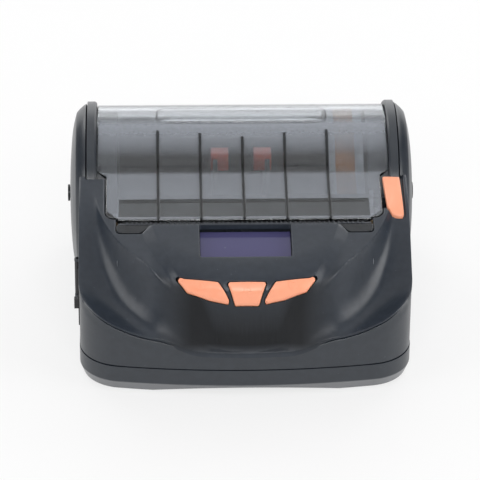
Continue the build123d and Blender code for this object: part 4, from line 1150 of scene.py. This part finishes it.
# Underside: the battery pack drops into its bay behind a sprung catch; four black screws close the case
# and four rubber feet carry it.
dress("battery_pack", moulded_plastic("battery case", (0.018, 0.022, 0.028), (0.024, 0.029, 0.036), 0.5))
dress("battery_latch", inner_black)
dress("rubber_feet", rubber("foot rubber", 0.02, 0.7))
dress("case_screws", metal("blackened steel", (0.09, 0.09, 0.10), 0.36))


# Camera, studio and lamps: a white sweep under a large overhead soft box, with smaller ones behind, in
# front and at the sides, and the camera 30 degrees up, looking at the front from a metre away.
FRAME_PX = 480


def look_from(elevation, azimuth, roll, distance, scale, target, shown_at):
    """Camera at a viewing angle in degrees, with target shown at a pixel of the square frame."""
    e, a, r = radians(elevation), radians(azimuth), radians(roll)
    ahead = Vector((-sin(a) * cos(e), cos(a) * cos(e), -sin(e)))
    level = Vector((cos(a), sin(a), 0.0))
    above = level.cross(ahead)
    right = level * cos(r) - above * sin(r)
    up = level * sin(r) + above * cos(r)
    focal = scale * distance
    centre = FRAME_PX / 2
    ray = ahead + right * ((shown_at[0] - centre) / focal) + up * ((centre - shown_at[1]) / focal)
    at = (Vector(target) - ray * distance) * MM
    data = bpy.data.cameras.new("camera")
    data.sensor_width = 36.0
    data.lens = focal / FRAME_PX * data.sensor_width
    data.clip_start = 0.01
    data.clip_end = 10.0
    camera = put("camera", data)
    turn = Matrix((right, up, -ahead)).transposed().to_4x4()
    camera.matrix_world = Matrix.Translation(at) @ turn
    bpy.context.scene.camera = camera


look_from(30.0, -1.86, -0.5, 1050.0, 2.998, (0.0, -25.0, 48.6), (244.7, 219.1))


def backdrop_material():
    """White paper sweep: seen white by the camera and in reflections, and it keeps the shadow."""
    material, tree, shader, place = start_material("white sweep")
    paper = mixed(tree, noise(tree, place, 30.0), (0.80, 0.80, 0.80), (0.83, 0.83, 0.83))
    tree.links.new(paper, shader.inputs["Base Color"])
    shader.inputs["Roughness"].default_value = 0.5
    glow = made(tree, "ShaderNodeEmission", Color=(1.0, 1.0, 1.0, 1.0))
    rays = tree.nodes.new("ShaderNodeLightPath")
    seen = sums(tree, "MAXIMUM", rays.outputs["Is Camera Ray"], rays.outputs["Is Transmission Ray"])
    seen = sums(tree, "MAXIMUM", seen, rays.outputs["Is Glossy Ray"])
    mix = tree.nodes.new("ShaderNodeMixShader")
    tree.links.new(sums(tree, "MULTIPLY", seen, 0.72), mix.inputs[0])
    tree.links.new(shader.outputs[0], mix.inputs[1])
    tree.links.new(glow, mix.inputs[2])
    tree.links.new(mix.outputs[0], tree.nodes["Material Output"].inputs["Surface"])
    return material


floor_mesh = bpy.data.meshes.new("floor")
floor_mesh.from_pydata([(-3, -3, 0), (3, -3, 0), (3, 3, 0), (-3, 3, 0)], [], [(0, 1, 2, 3)])
floor_mesh.materials.append(backdrop_material())
floor = put("floor", floor_mesh)


def soft_box(name, at, aim, width, height, watts):
    data = bpy.data.lights.new(name, "AREA")
    data.shape = "RECTANGLE"
    data.size = width
    data.size_y = height
    data.energy = watts
    lamp = put(name, data)
    away = Vector(at) - Vector(aim)
    lamp.matrix_world = Matrix.Translation(at) @ away.to_track_quat("Z", "Y").to_matrix().to_4x4()


soft_box("overhead", (0.0, 0.45, 1.0), (0, 0.15, 0.03), 3.0, 2.2, 17.0)
soft_box("back", (0.0, 1.3, 0.4), (0, 0, 0.05), 1.8, 0.8, 6.0)
soft_box("front", (0.0, -1.05, 0.8), (0, 0, 0.04), 0.7, 0.4, 7.0)
soft_box("left", (-0.9, -0.4, 0.35), (0, 0, 0.03), 0.6, 0.5, 3.0)
soft_box("right", (0.9, -0.4, 0.35), (0, 0, 0.03), 0.6, 0.5, 4.2)
soft_box("rear left", (-0.72, 1.0, 0.85), (0, 0, 0.05), 0.5, 0.5, 2.8)
soft_box("rear right", (0.72, 1.0, 0.85), (0, 0, 0.05), 0.5, 0.5, 2.8)
world = bpy.data.worlds.new("studio")
world.use_nodes = True
sky = world.node_tree
shade = sky.nodes["Background"]
shade.inputs["Color"].default_value = (1.0, 1.0, 1.0, 1.0)
paths = sky.nodes.new("ShaderNodeLightPath")
shown = sums(sky, "MAXIMUM", paths.outputs["Is Camera Ray"], paths.outputs["Is Transmission Ray"])
sky.links.new(spread(sky, shown, 0.0, 1.0, 0.04, 1.0), shade.inputs["Strength"])
bpy.context.scene.world = world
bpy.context.scene.view_settings.view_transform = "Standard"
